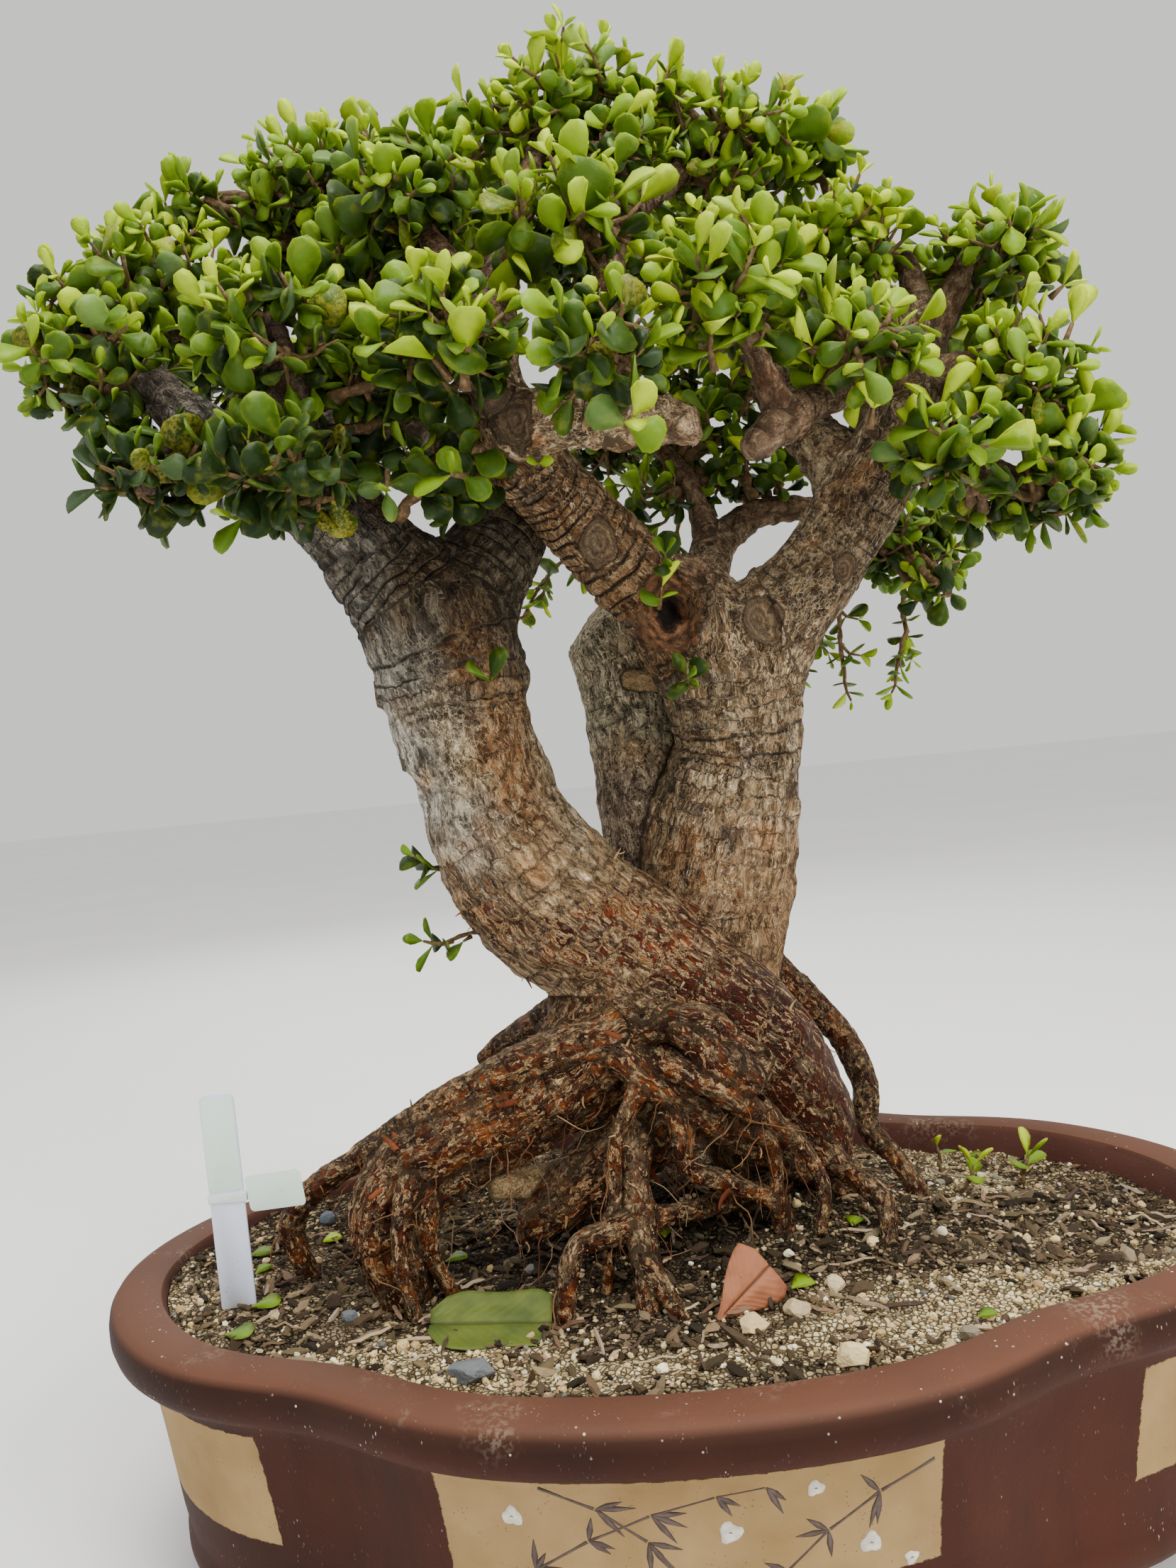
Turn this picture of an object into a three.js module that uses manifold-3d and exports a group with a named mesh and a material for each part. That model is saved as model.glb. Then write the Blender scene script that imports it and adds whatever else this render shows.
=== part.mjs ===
// A dwarf jade bonsai: two old trunks on exposed roots, in a four-lobed clay pot.
// Millimetres, +Z up. The origin is the middle of the pot's foot, on the surface it stands on.
// -Y is the front of the tree, with the two trunks side by side along X.

import * as THREE from 'three';
import { mergeVertices } from 'three/addons/utils/BufferGeometryUtils.js';
import Module from 'manifold-3d';

const wasm = await Module();
wasm.setup();

// ---------------------------------------------------------------- driving dimensions

const GAP = 0.4; // clearance between pieces that touch

const POT = {
  length: 560,
  depth: 374,
  height: 135,
  roundness: 1.956, // exponent of the rim's oval: 2 is an ellipse
  notchAngle: 0.947, // where the four dents between the lobes lie, radians from +X
  notchDepth: 0.068,
  notchWidth: 0.2156,
  sides: 64,
  floorTop: 22,
};

const DRAIN = { radius: 17, spacing: 240 };
const SCREEN = { side: 52, thickness: 1.6, bars: 3, barWidth: 5 };
const FOOT_SLOT = { width: 70, height: 7 };

const SOIL = {
  level: 130,
  wallInset: 31,
  backDrop: 11, // how far the soil sinks towards the back right
  mound: { x: 30, y: 15, height: 19, spreadX: 62, spreadY: 52 },
  rings: 4,
};

const LEAF = { thickness: 1.2 };
const TAG = { width: 16.5, thickness: 1.4, height: 112, tip: 12, lean: -0.6, bandHeight: 4.5, bandMiddle: 63.3 };

// Each limb is a route of [x, y, z, radius] stations, listed from its thick end.
const LEFT_WOOD = {
  trunk: [
    [84, 16, 148, 9], [80, 13, 162, 14], [72, 8, 186, 22], [50, 0, 220, 28], [17, -8, 252, 32],
    [-17, -14, 280, 35], [-47, -20, 308, 38], [-66, -24, 340, 34], [-73, -25, 370, 32],
    [-80, -25, 396, 32], [-83, -26, 420, 33], [-88, -27, 446, 35],
  ],
  leftLimb: [
    [-92, -27, 442, 27], [-109, -32, 469, 26], [-125, -38, 491, 22], [-144, -44, 507, 18],
    [-164, -48, 521, 15], [-185, -50, 539, 12], [-203, -50, 560, 10], [-218, -42, 582, 8],
    [-222, -32, 606, 5],
  ],
  rearLimb: [
    [-85, -25, 440, 24], [-64, -12, 466, 23], [-50, 8, 494, 21], [-53, 30, 529, 18],
    [-58, 50, 564, 15], [-54, 68, 600, 12], [-54, 80, 640, 9], [-60, 92, 680, 6],
  ],
  frontBranch: [[-139, -44, 503, 12], [-130, -68, 522, 9], [-132, -82, 545, 7], [-135, -88, 568, 4]],
  skirtBranch: [[-130, -45, 494, 10], [-134, -70, 499, 7], [-137, -98, 503, 4]],
  upBranch: [[-143, -40, 507, 12], [-132, -14, 546, 10], [-134, 5, 587, 8], [-140, 16, 628, 7], [-144, 24, 672, 5]],
  lowBranch: [[-185, -50, 539, 8], [-195, -62, 522, 6], [-202, -70, 508, 4]],
  backBranch: [[-137, -38, 500, 10], [-155, 20, 555, 9], [-180, 66, 598, 8], [-212, 92, 618, 6], [-238, 104, 632, 5]],
  innerBranch: [[-55, 34, 532, 12], [-85, 60, 548, 9], [-115, 82, 566, 7], [-142, 96, 582, 5]],
  longRoot: [
    [-22, -44, 242, 9], [-53, -52, 237, 8], [-81, -54, 228, 7], [-114, -48, 211, 7], [-149, -36, 190, 6],
    [-176, -26, 172, 6], [-187, -22, 156, 6], [-184, -20, 138, 6], [-178, -20, 121, 5],
  ],
  broadRoot: [
    [-26, -20, 242, 26], [-44, -36, 224, 20], [-72, -44, 211, 18], [-99, -50, 201, 15], [-123, -52, 190, 13],
    [-137, -52, 174, 12], [-138, -52, 156, 12], [-131, -53, 134, 11], [-128, -53, 120, 10],
  ],
  thinLeftRoot: [[-112, -55, 188, 5], [-113, -60, 167, 4], [-112, -58, 150, 3], [-103, -52, 122, 3]],
  brokenStick: [[-40, -22, 172, 7], [-60, -34, 173, 6], [-83, -46, 175, 6]],
  underRoot: [[20, -12, 224, 20], [4, -18, 204, 15], [-14, -26, 188, 13], [-39, -36, 176, 11], [-63, -40, 162, 7], [-70, -40, 150, 5]],
  frontRightRoot: [
    [-21, -44, 236, 8], [-9, -52, 224, 6], [6, -53, 210, 6], [21, -49, 196, 6], [34, -40, 184, 5],
    [55, -22, 166, 5], [76, -6, 150, 4], [90, 4, 128, 4],
  ],
  archRoot: [
    [-51, -92, 120, 4], [-50, -88, 144, 5], [-44, -80, 157, 5], [-28, -72, 160, 5], [-9, -62, 160, 5],
    [11, -46, 157, 5], [32, -26, 153, 5], [54, -6, 152, 6], [74, 10, 156, 8],
  ],
  postRoot: [[-14, -34, 194, 8], [-16, -54, 180, 6], [-16, -66, 162, 6], [-15, -82, 146, 5], [-17, -99, 121, 4]],
  brokenRoot: [[-2, -34, 247, 9], [15, -52, 240, 7], [29, -60, 229, 6], [38, -64, 220, 6]],
  backStubRoot: [[-30, -4, 250, 14], [-56, 20, 238, 8], [-84, 48, 221, 5], [-96, 56, 211, 4]],
  rightRoot: [
    [58, 2, 196, 10], [70, -2, 174, 8], [80, -10, 162, 6], [90, -22, 155, 5], [98, -34, 149, 5],
    [97, -48, 139, 4], [93, -58, 121, 3],
  ],
};

const RIGHT_WOOD = {
  trunk: [
    [52, 46, 128, 19], [48, 42, 152, 24], [41, 42, 178, 29], [35, 42, 215, 34], [32, 40, 248, 36],
    [33, 36, 281, 40], [39, 32, 311, 41], [48, 28, 340, 37], [54, 24, 366, 32], [55, 20, 393, 33], [54, 16, 420, 37],
  ],
  cutStub: [[20, 38, 300, 30], [9, 50, 338, 28], [5, 56, 373, 26], [0, 56, 408, 24], [-12, 54, 440, 20]],
  leftLimb: [
    [49, 16, 412, 28], [33, 8, 432, 25], [13, -2, 454, 22], [-6, -14, 475, 20], [-24, -28, 495, 19],
    [-37, -42, 509, 17], [-43, -56, 521, 14],
  ],
  frontLimb: [[-37, -58, 520, 14], [-14, -78, 517, 13], [8, -92, 512, 11], [26, -99, 506, 9], [38, -103, 501, 8]],
  crownLeftBranch: [
    [-43, -56, 520, 12], [-43, -62, 546, 10], [-41, -62, 574, 8], [-31, -50, 612, 7], [-20, -30, 650, 5],
    [-14, -16, 680, 4],
  ],
  crownSideBranch: [[-42, -62, 560, 8], [-58, -52, 590, 7], [-72, -42, 620, 5], [-80, -36, 644, 4]],
  crownSpur: [[-43, -58, 528, 10], [-50, -80, 537, 7], [-57, -98, 547, 5]],
  crownBranch: [[7, -90, 510, 10], [9, -84, 546, 8], [10, -72, 584, 7], [12, -50, 625, 6], [4, -24, 662, 5], [0, -12, 684, 4]],
  crownRightBranch: [[10, -64, 598, 7], [34, -40, 626, 6], [54, -14, 648, 5], [66, 0, 668, 4]],
  crownLowBranch: [[10, -92, 512, 8], [6, -108, 519, 6], [3, -122, 527, 4]],
  rightLimb: [
    [60, 16, 411, 28], [79, 10, 428, 23], [99, 2, 450, 21], [120, -6, 477, 20], [133, -12, 499, 18],
    [146, -14, 522, 14], [153, -14, 544, 12], [158, -8, 573, 8], [158, 2, 598, 5],
  ],
  rightFrontBranch: [[150, -16, 540, 10], [122, -46, 530, 8], [93, -72, 514, 8], [73, -90, 500, 7], [62, -98, 492, 6]],
  rightInnerBranch: [[78, -84, 503, 7], [68, -98, 522, 5], [60, -104, 543, 4]],
  rightBackBranch: [[122, 0, 486, 16], [114, 18, 512, 14], [102, 40, 538, 13], [94, 62, 567, 10], [92, 88, 602, 8], [95, 108, 634, 6]],
  crownBackBranch: [[93, 74, 584, 8], [66, 94, 620, 7], [40, 110, 650, 6], [22, 118, 674, 4]],
  rightSideBranch: [[133, -14, 497, 11], [162, -26, 491, 7], [184, -34, 482, 6], [198, -38, 476, 4]],
  rightLowBranch: [[134, -20, 497, 8], [143, -44, 494, 6], [150, -62, 491, 4]],
  rightCrownBranch: [[150, -14, 536, 9], [138, -8, 570, 7], [128, 0, 604, 4]],
  rightUpBranch: [[153, -14, 542, 9], [170, -14, 566, 7], [184, -15, 594, 4]],
  rightEdgeBranch: [[152, -14, 532, 9], [176, -28, 536, 6], [200, -35, 536, 4]],
  rightFarBranch: [[134, 0, 503, 12], [144, 46, 542, 9], [160, 78, 574, 7], [180, 94, 590, 5]],
  backBranch: [[48, 26, 436, 14], [53, 62, 471, 10], [79, 86, 496, 8], [108, 100, 502, 7], [138, 105, 492, 6], [164, 105, 482, 4]],
  backTwig: [[54, 64, 473, 8], [50, 82, 510, 6], [38, 102, 540, 5], [18, 118, 562, 4]],
  backRoot: [
    [60, 56, 246, 14], [85, 62, 224, 9], [102, 58, 203, 8], [109, 48, 180, 7], [107, 38, 161, 6],
    [116, 28, 149, 5], [125, 18, 134, 5], [130, 12, 116, 4],
  ],
  rearRoot: [[30, 62, 200, 12], [8, 92, 176, 8], [-16, 116, 152, 6], [-32, 132, 118, 5]],
};

// Foliage pads: [x, y, z, half width, half depth, half height].
const PADS = {
  left_tip: [-229, -52, 556, 43, 48, 38],
  left_low: [-196, -66, 505, 37, 42, 22],
  left_front: [-134, -94, 499, 34, 40, 26],
  left_upper: [-205, -16, 621, 46, 58, 38],
  left_middle: [-134, -82, 560, 37, 44, 34],
  left_top: [-144, 22, 677, 49, 62, 38],
  left_back: [-222, 100, 625, 50, 52, 48],
  left_inner: [-138, 96, 578, 50, 50, 44],
  crown_left: [-76, -36, 633, 38, 52, 40],
  crown_front_left: [-60, -104, 546, 36, 40, 31],
  crown_top: [-10, -10, 692, 49, 60, 42],
  crown_front: [-7, -76, 600, 37, 46, 33],
  crown_low: [3, -124, 528, 31, 36, 24],
  crown_right: [68, -2, 664, 46, 60, 42],
  crown_inner: [54, -102, 555, 33, 44, 32],
  crown_back_left: [-74, 106, 676, 56, 56, 54],
  crown_back: [18, 120, 676, 52, 54, 54],
  crown_back_right: [99, 114, 642, 48, 52, 52],
  center_back: [14, 122, 560, 54, 48, 40],
  right_crown: [128, 2, 614, 36, 52, 36],
  right_front: [112, -78, 533, 33, 40, 27],
  right_top: [188, -15, 597, 36, 48, 31],
  right_edge: [205, -36, 534, 33, 46, 34],
  right_side: [200, -40, 473, 32, 44, 27],
  right_low: [150, -66, 489, 26, 34, 21],
  right_far: [188, 96, 588, 50, 54, 48],
  right_back: [168, 106, 476, 46, 46, 30],
};

// Young shoots and seedlings: [x, y, z] of the base, the lean of the stem and its length.
const SHOOTS = {
  shoot_low_left: { base: [-84, -26, 287], tip: [-101, -30, 285], leaves: 4, leafLength: 9 },
  shoot_left: { base: [-86, -26, 322], tip: [-104, -30, 325], leaves: 3, leafLength: 8 },
  shoot_front: { base: [-64, -53, 402], tip: [-58, -64, 408], leaves: 3, leafLength: 14 },
  shoot_clover: { base: [33, -8, 398], tip: [31, -24, 402], leaves: 4, leafLength: 8 },
  shoot_knot: { base: [29, -22, 452], tip: [30, -36, 460], leaves: 4, leafLength: 8 },
  seedling_right: { base: [150, 26, 118], tip: [154, 25, 134], leaves: 4, leafLength: 10 },
  seedling_far: { base: [184, 42, 116], tip: [187, 40, 131], leaves: 4, leafLength: 11 },
  seedling_back: { base: [150, 66, 116], tip: [149, 66, 131], leaves: 4, leafLength: 9 },
};

// Loose stones: [x, y, z, half width, half depth, half height].
const STONES = {
  stone_white_right: [84, -8, 133, 10, 7, 6],
  stone_white_front: [27, -114, 134, 7, 6, 5],
  stone_white_rim: [62, -143, 133, 7, 5, 5],
  stone_cream: [46, -104, 134, 6, 5, 5],
  stone_grey: [-86, -132, 133, 9, 6, 4],
};

// ---------------------------------------------------------------- materials

const COLOURS = {
  clay: new THREE.MeshStandardMaterial({ color: 0x5f322a, roughness: 0.55, metalness: 0 }),
  mesh: new THREE.MeshStandardMaterial({ color: 0x23282a, roughness: 0.6, metalness: 0 }),
  soil: new THREE.MeshStandardMaterial({ color: 0x6b5a48, roughness: 1, metalness: 0 }),
  bark: new THREE.MeshStandardMaterial({ color: 0x96826a, roughness: 0.85, metalness: 0 }),
  leaf: new THREE.MeshStandardMaterial({ color: 0x6f9433, roughness: 0.35, metalness: 0 }),
  dryLeaf: new THREE.MeshStandardMaterial({ color: 0xc08066, roughness: 0.7, metalness: 0 }),
  paleStone: new THREE.MeshStandardMaterial({ color: 0xd8ccb0, roughness: 0.9, metalness: 0 }),
  greyStone: new THREE.MeshStandardMaterial({ color: 0x6e7478, roughness: 0.9, metalness: 0 }),
  plastic: new THREE.MeshStandardMaterial({ color: 0xe4e8ea, roughness: 0.35, metalness: 0 }),
  paper: new THREE.MeshStandardMaterial({ color: 0xdde4dc, roughness: 0.8, metalness: 0 }),
  tape: new THREE.MeshStandardMaterial({ color: 0xe8ecec, roughness: 0.15, metalness: 0 }),
};

// ---------------------------------------------------------------- solids

function solidOf(geometry) {
  const bare = geometry.index ? geometry.clone() : geometry;
  bare.deleteAttribute('normal');
  bare.deleteAttribute('uv');
  const merged = mergeVertices(bare, 1e-3);
  const vertProperties = new Float32Array(merged.attributes.position.array);
  const triVerts = new Uint32Array(merged.index.array);
  return new wasm.Manifold(new wasm.Mesh({ numProp: 3, vertProperties, triVerts }));
}

function geometryOf(solid) {
  const mesh = solid.getMesh();
  const geometry = new THREE.BufferGeometry();
  geometry.setAttribute('position', new THREE.BufferAttribute(new Float32Array(mesh.vertProperties), 3));
  geometry.setIndex(new THREE.BufferAttribute(new Uint32Array(mesh.triVerts), 1));
  geometry.computeVertexNormals();
  return geometry;
}

function joined(solids) {
  return solids.reduce((sum, solid) => sum.add(solid));
}

function without(solid, cutters) {
  return cutters.reduce((rest, cutter) => rest.subtract(cutter), solid);
}

function biggest(solid) {
  return solid.decompose().sort((a, b) => b.volume() - a.volume())[0];
}

// A closed skin over rings of equal point counts, with a fan to a middle point at each end.
function closedSkin(first, rings, last) {
  const positions = [];
  const triangles = [];
  const count = rings[0].length;
  positions.push(...first);
  for (const ring of rings) {
    for (const point of ring) {
      positions.push(...point);
    }
  }
  positions.push(...last);
  const at = (ring, i) => 1 + ring * count + (i % count);
  const end = 1 + rings.length * count;
  for (let i = 0; i < count; i += 1) {
    triangles.push(0, at(0, i + 1), at(0, i));
    triangles.push(end, at(rings.length - 1, i), at(rings.length - 1, i + 1));
  }
  for (let ring = 0; ring < rings.length - 1; ring += 1) {
    for (let i = 0; i < count; i += 1) {
      triangles.push(at(ring, i), at(ring, i + 1), at(ring + 1, i + 1));
      triangles.push(at(ring, i), at(ring + 1, i + 1), at(ring + 1, i));
    }
  }
  const geometry = new THREE.BufferGeometry();
  geometry.setAttribute('position', new THREE.BufferAttribute(new Float32Array(positions), 3));
  geometry.setIndex(triangles);
  return geometry;
}

// ---------------------------------------------------------------- pot

// A point of the pot's lobed outline, `inset` in from the rim's outer edge.
function lobePoint(angle, inset) {
  const c = Math.cos(angle);
  const s = Math.sin(angle);
  const p = POT.roundness;
  const reach = (Math.abs(c) ** p + Math.abs(s) ** p) ** (-1 / p);
  const dents = [POT.notchAngle, Math.PI - POT.notchAngle, Math.PI + POT.notchAngle, -POT.notchAngle];
  let dent = 0;
  for (const middle of dents) {
    const away = Math.atan2(Math.sin(angle - middle), Math.cos(angle - middle));
    dent += POT.notchDepth * Math.exp(-((away / POT.notchWidth) ** 2));
  }
  const scale = reach * (1 - dent);
  return [(POT.length / 2 - inset) * c * scale, (POT.depth / 2 - inset) * s * scale];
}

function lobeRing(inset, z) {
  const ring = [];
  for (let i = 0; i < POT.sides; i += 1) {
    const [x, y] = lobePoint((2 * Math.PI * i) / POT.sides, inset);
    ring.push([x, y, typeof z === 'function' ? z(x, y) : z]);
  }
  return ring;
}

function placed(geometry, x, y, z) {
  geometry.translate(x, y, z);
  return geometry;
}

function potBody() {
  const top = POT.height;
  const wall = [
    [66, 8], [62, 0], [48, 0], [40, 8], [28, 12], [26, 20], [24, 37], [16, 108], [13, 112], [4, 113],
    [0, 119], [0, top - 7], [3, top - 2], [21, top], [26, top - 3], [30, top - 25], [37, 42],
    [54, POT.floorTop],
  ];
  const rings = wall.map(([inset, z]) => lobeRing(inset, z));
  let pot = solidOf(closedSkin([0, 0, 8], rings, [0, 0, POT.floorTop]));
  for (const side of [-1, 1]) {
    const hole = new THREE.CylinderGeometry(DRAIN.radius, DRAIN.radius, 40, 20);
    hole.rotateX(Math.PI / 2);
    pot = pot.subtract(solidOf(placed(hole, (side * DRAIN.spacing) / 2, 0, POT.floorTop)));
  }
  const across = new THREE.BoxGeometry(FOOT_SLOT.width, POT.depth, 2 * FOOT_SLOT.height);
  const along = new THREE.BoxGeometry(POT.length, FOOT_SLOT.width, 2 * FOOT_SLOT.height);
  return without(pot, [solidOf(across), solidOf(along)]);
}

function drainScreen(side) {
  const { side: width, thickness, bars, barWidth } = SCREEN;
  const z = POT.floorTop + GAP + thickness / 2;
  let screen = solidOf(new THREE.BoxGeometry(width, width, thickness));
  const pitch = (width - barWidth) / bars;
  for (let i = 0; i < bars; i += 1) {
    for (let j = 0; j < bars; j += 1) {
      const hole = new THREE.BoxGeometry(pitch - barWidth, pitch - barWidth, 4 * thickness);
      const x = (i + 0.5 - bars / 2) * pitch;
      const y = (j + 0.5 - bars / 2) * pitch;
      screen = screen.subtract(solidOf(placed(hole, x, y, 0)));
    }
  }
  return screen.translate([(side * DRAIN.spacing) / 2, 0, z]);
}

// ---------------------------------------------------------------- soil

function soilTop(x, y) {
  const { mound } = SOIL;
  const rise = mound.height * Math.exp(
    -((x - mound.x) ** 2) / (2 * mound.spreadX ** 2) - (y - mound.y) ** 2 / (2 * mound.spreadY ** 2),
  );
  const back = THREE.MathUtils.smoothstep(0.6 * x + 0.8 * y, 10, 190);
  const ripple = 1.2 * Math.sin(x / 23) * Math.cos(y / 19);
  return SOIL.level + rise + ripple - SOIL.backDrop * back;
}

function soilMass(cutters) {
  const rings = [];
  const floor = POT.floorTop + GAP;
  for (const [inset, z] of [[54.6, floor], [37.8, 42.4], [SOIL.wallInset, 109]]) {
    rings.push(lobeRing(inset, z));
  }
  const half = POT.depth / 2 - SOIL.wallInset;
  for (let i = 0; i < SOIL.rings; i += 1) {
    const inset = SOIL.wallInset - 1.2 + (i / SOIL.rings) * half;
    rings.push(lobeRing(inset, soilTop));
  }
  const soil = solidOf(closedSkin([0, 0, floor], rings, [0, 0, soilTop(0, 0)]));
  return biggest(without(soil, cutters));
}

// ---------------------------------------------------------------- wood

// A tapering limb with round ends, `grow` thicker than its route says.
function limb(route, grow) {
  const widest = Math.max(...route.map((station) => station[3]));
  const sides = widest > 20 ? 12 : widest > 10 ? 8 : 6;
  const curve = new THREE.CatmullRomCurve3(route.map(([x, y, z]) => new THREE.Vector3(x, y, z)));
  const spans = route.length - 1;
  const stations = route.map(([, , , radius], i) => ({
    centre: curve.getPoint(i / spans),
    along: curve.getTangent(i / spans),
    radius: radius + grow,
  }));
  const capped = [];
  const first = stations[0];
  const last = stations[spans];
  const shifted = (from, distance, share) => ({
    centre: from.centre.clone().addScaledVector(from.along, distance),
    along: from.along,
    radius: from.radius * share,
  });
  capped.push(shifted(first, -0.35 * first.radius, 0.7), ...stations, shifted(last, 0.35 * last.radius, 0.7));
  const axis = new THREE.Vector3(0.3, 1, 0.1).cross(first.along).normalize();
  const rings = capped.map((station) => {
    axis.addScaledVector(station.along, -axis.dot(station.along)).normalize();
    const other = new THREE.Vector3().crossVectors(station.along, axis);
    const ring = [];
    for (let i = 0; i < sides; i += 1) {
      const turn = (2 * Math.PI * i) / sides;
      const point = station.centre.clone();
      point.addScaledVector(axis, station.radius * Math.cos(turn));
      point.addScaledVector(other, station.radius * Math.sin(turn));
      ring.push(point.toArray());
    }
    return ring;
  });
  const tail = shifted(first, -0.5 * first.radius, 1).centre.toArray();
  const tip = shifted(last, 0.5 * last.radius, 1).centre.toArray();
  return solidOf(closedSkin(tail, rings, tip));
}

function wood(routes, grow) {
  return joined(Object.values(routes).map((route) => limb(route, grow)));
}

// ---------------------------------------------------------------- leaves and stones

// A closed lumpy ellipsoid: `phase` makes each one its own shape.
function lump([x, y, z, width, depth, height], phase, detail, roughness, grow) {
  const sphere = new THREE.IcosahedronGeometry(1, detail);
  sphere.deleteAttribute('normal');
  sphere.deleteAttribute('uv');
  const geometry = mergeVertices(sphere, 1e-3);
  const position = geometry.attributes.position;
  const point = new THREE.Vector3();
  for (let i = 0; i < position.count; i += 1) {
    point.fromBufferAttribute(position, i).normalize();
    const wave = Math.sin(3.1 * point.x + phase) + Math.sin(4.3 * point.y + 2 * phase) + Math.sin(3.7 * point.z - phase);
    point.multiplyScalar(1 + (roughness * wave) / 3);
    point.multiply(new THREE.Vector3(width + grow, depth + grow, height + grow));
    position.setXYZ(i, point.x + x, point.y + y, point.z + z);
  }
  return solidOf(geometry);
}

function foliagePads(woodCutters) {
  const pads = new Map();
  Object.entries(PADS).forEach(([name, shape], index) => {
    const phase = 1.7 * index;
    const cutters = [...woodCutters];
    for (const other of pads.values()) {
      cutters.push(other.grown);
    }
    const solid = biggest(without(lump(shape, phase, 1, 0.09, 0), cutters));
    pads.set(name, { solid, grown: lump(shape, phase, 1, 0.09, GAP) });
  });
  return pads;
}

// A short stem with a fan of fleshy leaves round its tip.
function shoot({ base, tip, leaves, leafLength }, grow) {
  const parts = [limb([[...base, 1.4], [...tip, 1.4]], grow)];
  for (let i = 0; i < leaves; i += 1) {
    const turn = (2 * Math.PI * i) / leaves + 0.6;
    const leaf = new THREE.SphereGeometry(1, 6, 3);
    leaf.scale(0.5 * leafLength + grow, 0.4 * leafLength + grow, 0.12 * leafLength + 0.5 + grow);
    leaf.translate(0.45 * leafLength, 0, 0);
    leaf.rotateY(-0.35);
    leaf.rotateZ(turn);
    parts.push(solidOf(placed(leaf, ...tip)));
  }
  return joined(parts);
}

// A flat leaf blade, round at the stem end and pointed at the tip.
function leafBlade(length, width, tipSharpness) {
  const outline = new THREE.Shape();
  outline.moveTo(-length / 2, 0);
  outline.bezierCurveTo(-length / 2, -width * 0.6, length * 0.1, -width * 0.6, length / 2, -tipSharpness);
  outline.lineTo(length / 2, tipSharpness);
  outline.bezierCurveTo(length * 0.1, width * 0.6, -length / 2, width * 0.6, -length / 2, 0);
  const settings = { depth: LEAF.thickness, bevelEnabled: false, curveSegments: 8 };
  return new THREE.ExtrudeGeometry(outline, settings);
}

// ---------------------------------------------------------------- plant tag

function plate(width, height, thickness) {
  return new THREE.BoxGeometry(width, thickness, height);
}

function tagStake() {
  const outline = new THREE.Shape();
  const half = TAG.width / 2;
  outline.moveTo(-half, TAG.tip);
  outline.lineTo(0, 0);
  outline.lineTo(half, TAG.tip);
  outline.lineTo(half, TAG.height - 3);
  outline.lineTo(half - 3, TAG.height);
  outline.lineTo(3 - half, TAG.height);
  outline.lineTo(-half, TAG.height - 3);
  outline.closePath();
  const stake = new THREE.ExtrudeGeometry(outline, { depth: TAG.thickness, bevelEnabled: false });
  stake.rotateX(Math.PI / 2);
  stake.translate(0, TAG.thickness / 2, 0);
  return stake;
}

function tagBand() {
  const outer = plate(TAG.width + 2, TAG.bandHeight, TAG.thickness + 2);
  const inner = plate(TAG.width + 0.8, 20, TAG.thickness + 0.8);
  return solidOf(outer).subtract(solidOf(inner));
}

// ---------------------------------------------------------------- assembly

const bonsai = new THREE.Group();
bonsai.name = 'dwarf_jade_bonsai';

function addPiece(name, solid, material) {
  const mesh = new THREE.Mesh(geometryOf(solid), material.clone());
  mesh.name = name;
  bonsai.add(mesh);
}

const leftWood = wood(LEFT_WOOD, 0);
const leftWoodRoom = wood(LEFT_WOOD, GAP);
const rightWood = biggest(wood(RIGHT_WOOD, 0).subtract(leftWoodRoom));
const rightWoodRoom = wood(RIGHT_WOOD, GAP);
const woodRoom = [leftWoodRoom, rightWoodRoom];

const shoots = Object.entries(SHOOTS).map(([name, shape]) => ({
  name,
  solid: biggest(without(shoot(shape, 0), woodRoom)),
  room: shoot(shape, GAP),
}));
const stones = Object.entries(STONES).map(([name, shape], index) => ({
  name,
  solid: biggest(without(lump(shape, 2.3 * index, 1, 0.14, 0), woodRoom)),
  room: lump(shape, 2.3 * index, 1, 0.14, GAP),
}));

addPiece('pot_body', potBody(), COLOURS.clay);
addPiece('drain_screen_left', drainScreen(-1), COLOURS.mesh);
addPiece('drain_screen_right', drainScreen(1), COLOURS.mesh);

const tagPlace = new THREE.Matrix4().makeTranslation(-207, -48, 118);
tagPlace.multiply(new THREE.Matrix4().makeRotationY(THREE.MathUtils.degToRad(TAG.lean)));
const inPlace = (geometry) => solidOf(geometry.applyMatrix4(tagPlace));
const stake = inPlace(tagStake());
const stakeRoom = inPlace(placed(plate(TAG.width + 2 * GAP, 60, TAG.thickness + 2 * GAP), 0, 0, 29));

const screenRoom = [-1, 1].map((side) => {
  const block = new THREE.BoxGeometry(SCREEN.side + 2 * GAP, SCREEN.side + 2 * GAP, 2 * SCREEN.thickness + 2 * GAP);
  return solidOf(placed(block, (side * DRAIN.spacing) / 2, 0, POT.floorTop + GAP));
});
const loose = [...shoots, ...stones].map((piece) => piece.room);
addPiece('soil_mass', soilMass([...woodRoom, ...loose, ...screenRoom, stakeRoom]), COLOURS.soil);
addPiece('left_trunk', leftWood, COLOURS.bark);
addPiece('right_trunk', rightWood, COLOURS.bark);

for (const [name, pad] of foliagePads(woodRoom)) {
  addPiece(`foliage_${name}`, pad.solid, COLOURS.leaf);
}
for (const { name, solid } of shoots) {
  addPiece(name, solid, COLOURS.leaf);
}
for (const { name, solid } of stones) {
  addPiece(name, solid, name.includes('grey') ? COLOURS.greyStone : COLOURS.paleStone);
}

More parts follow.
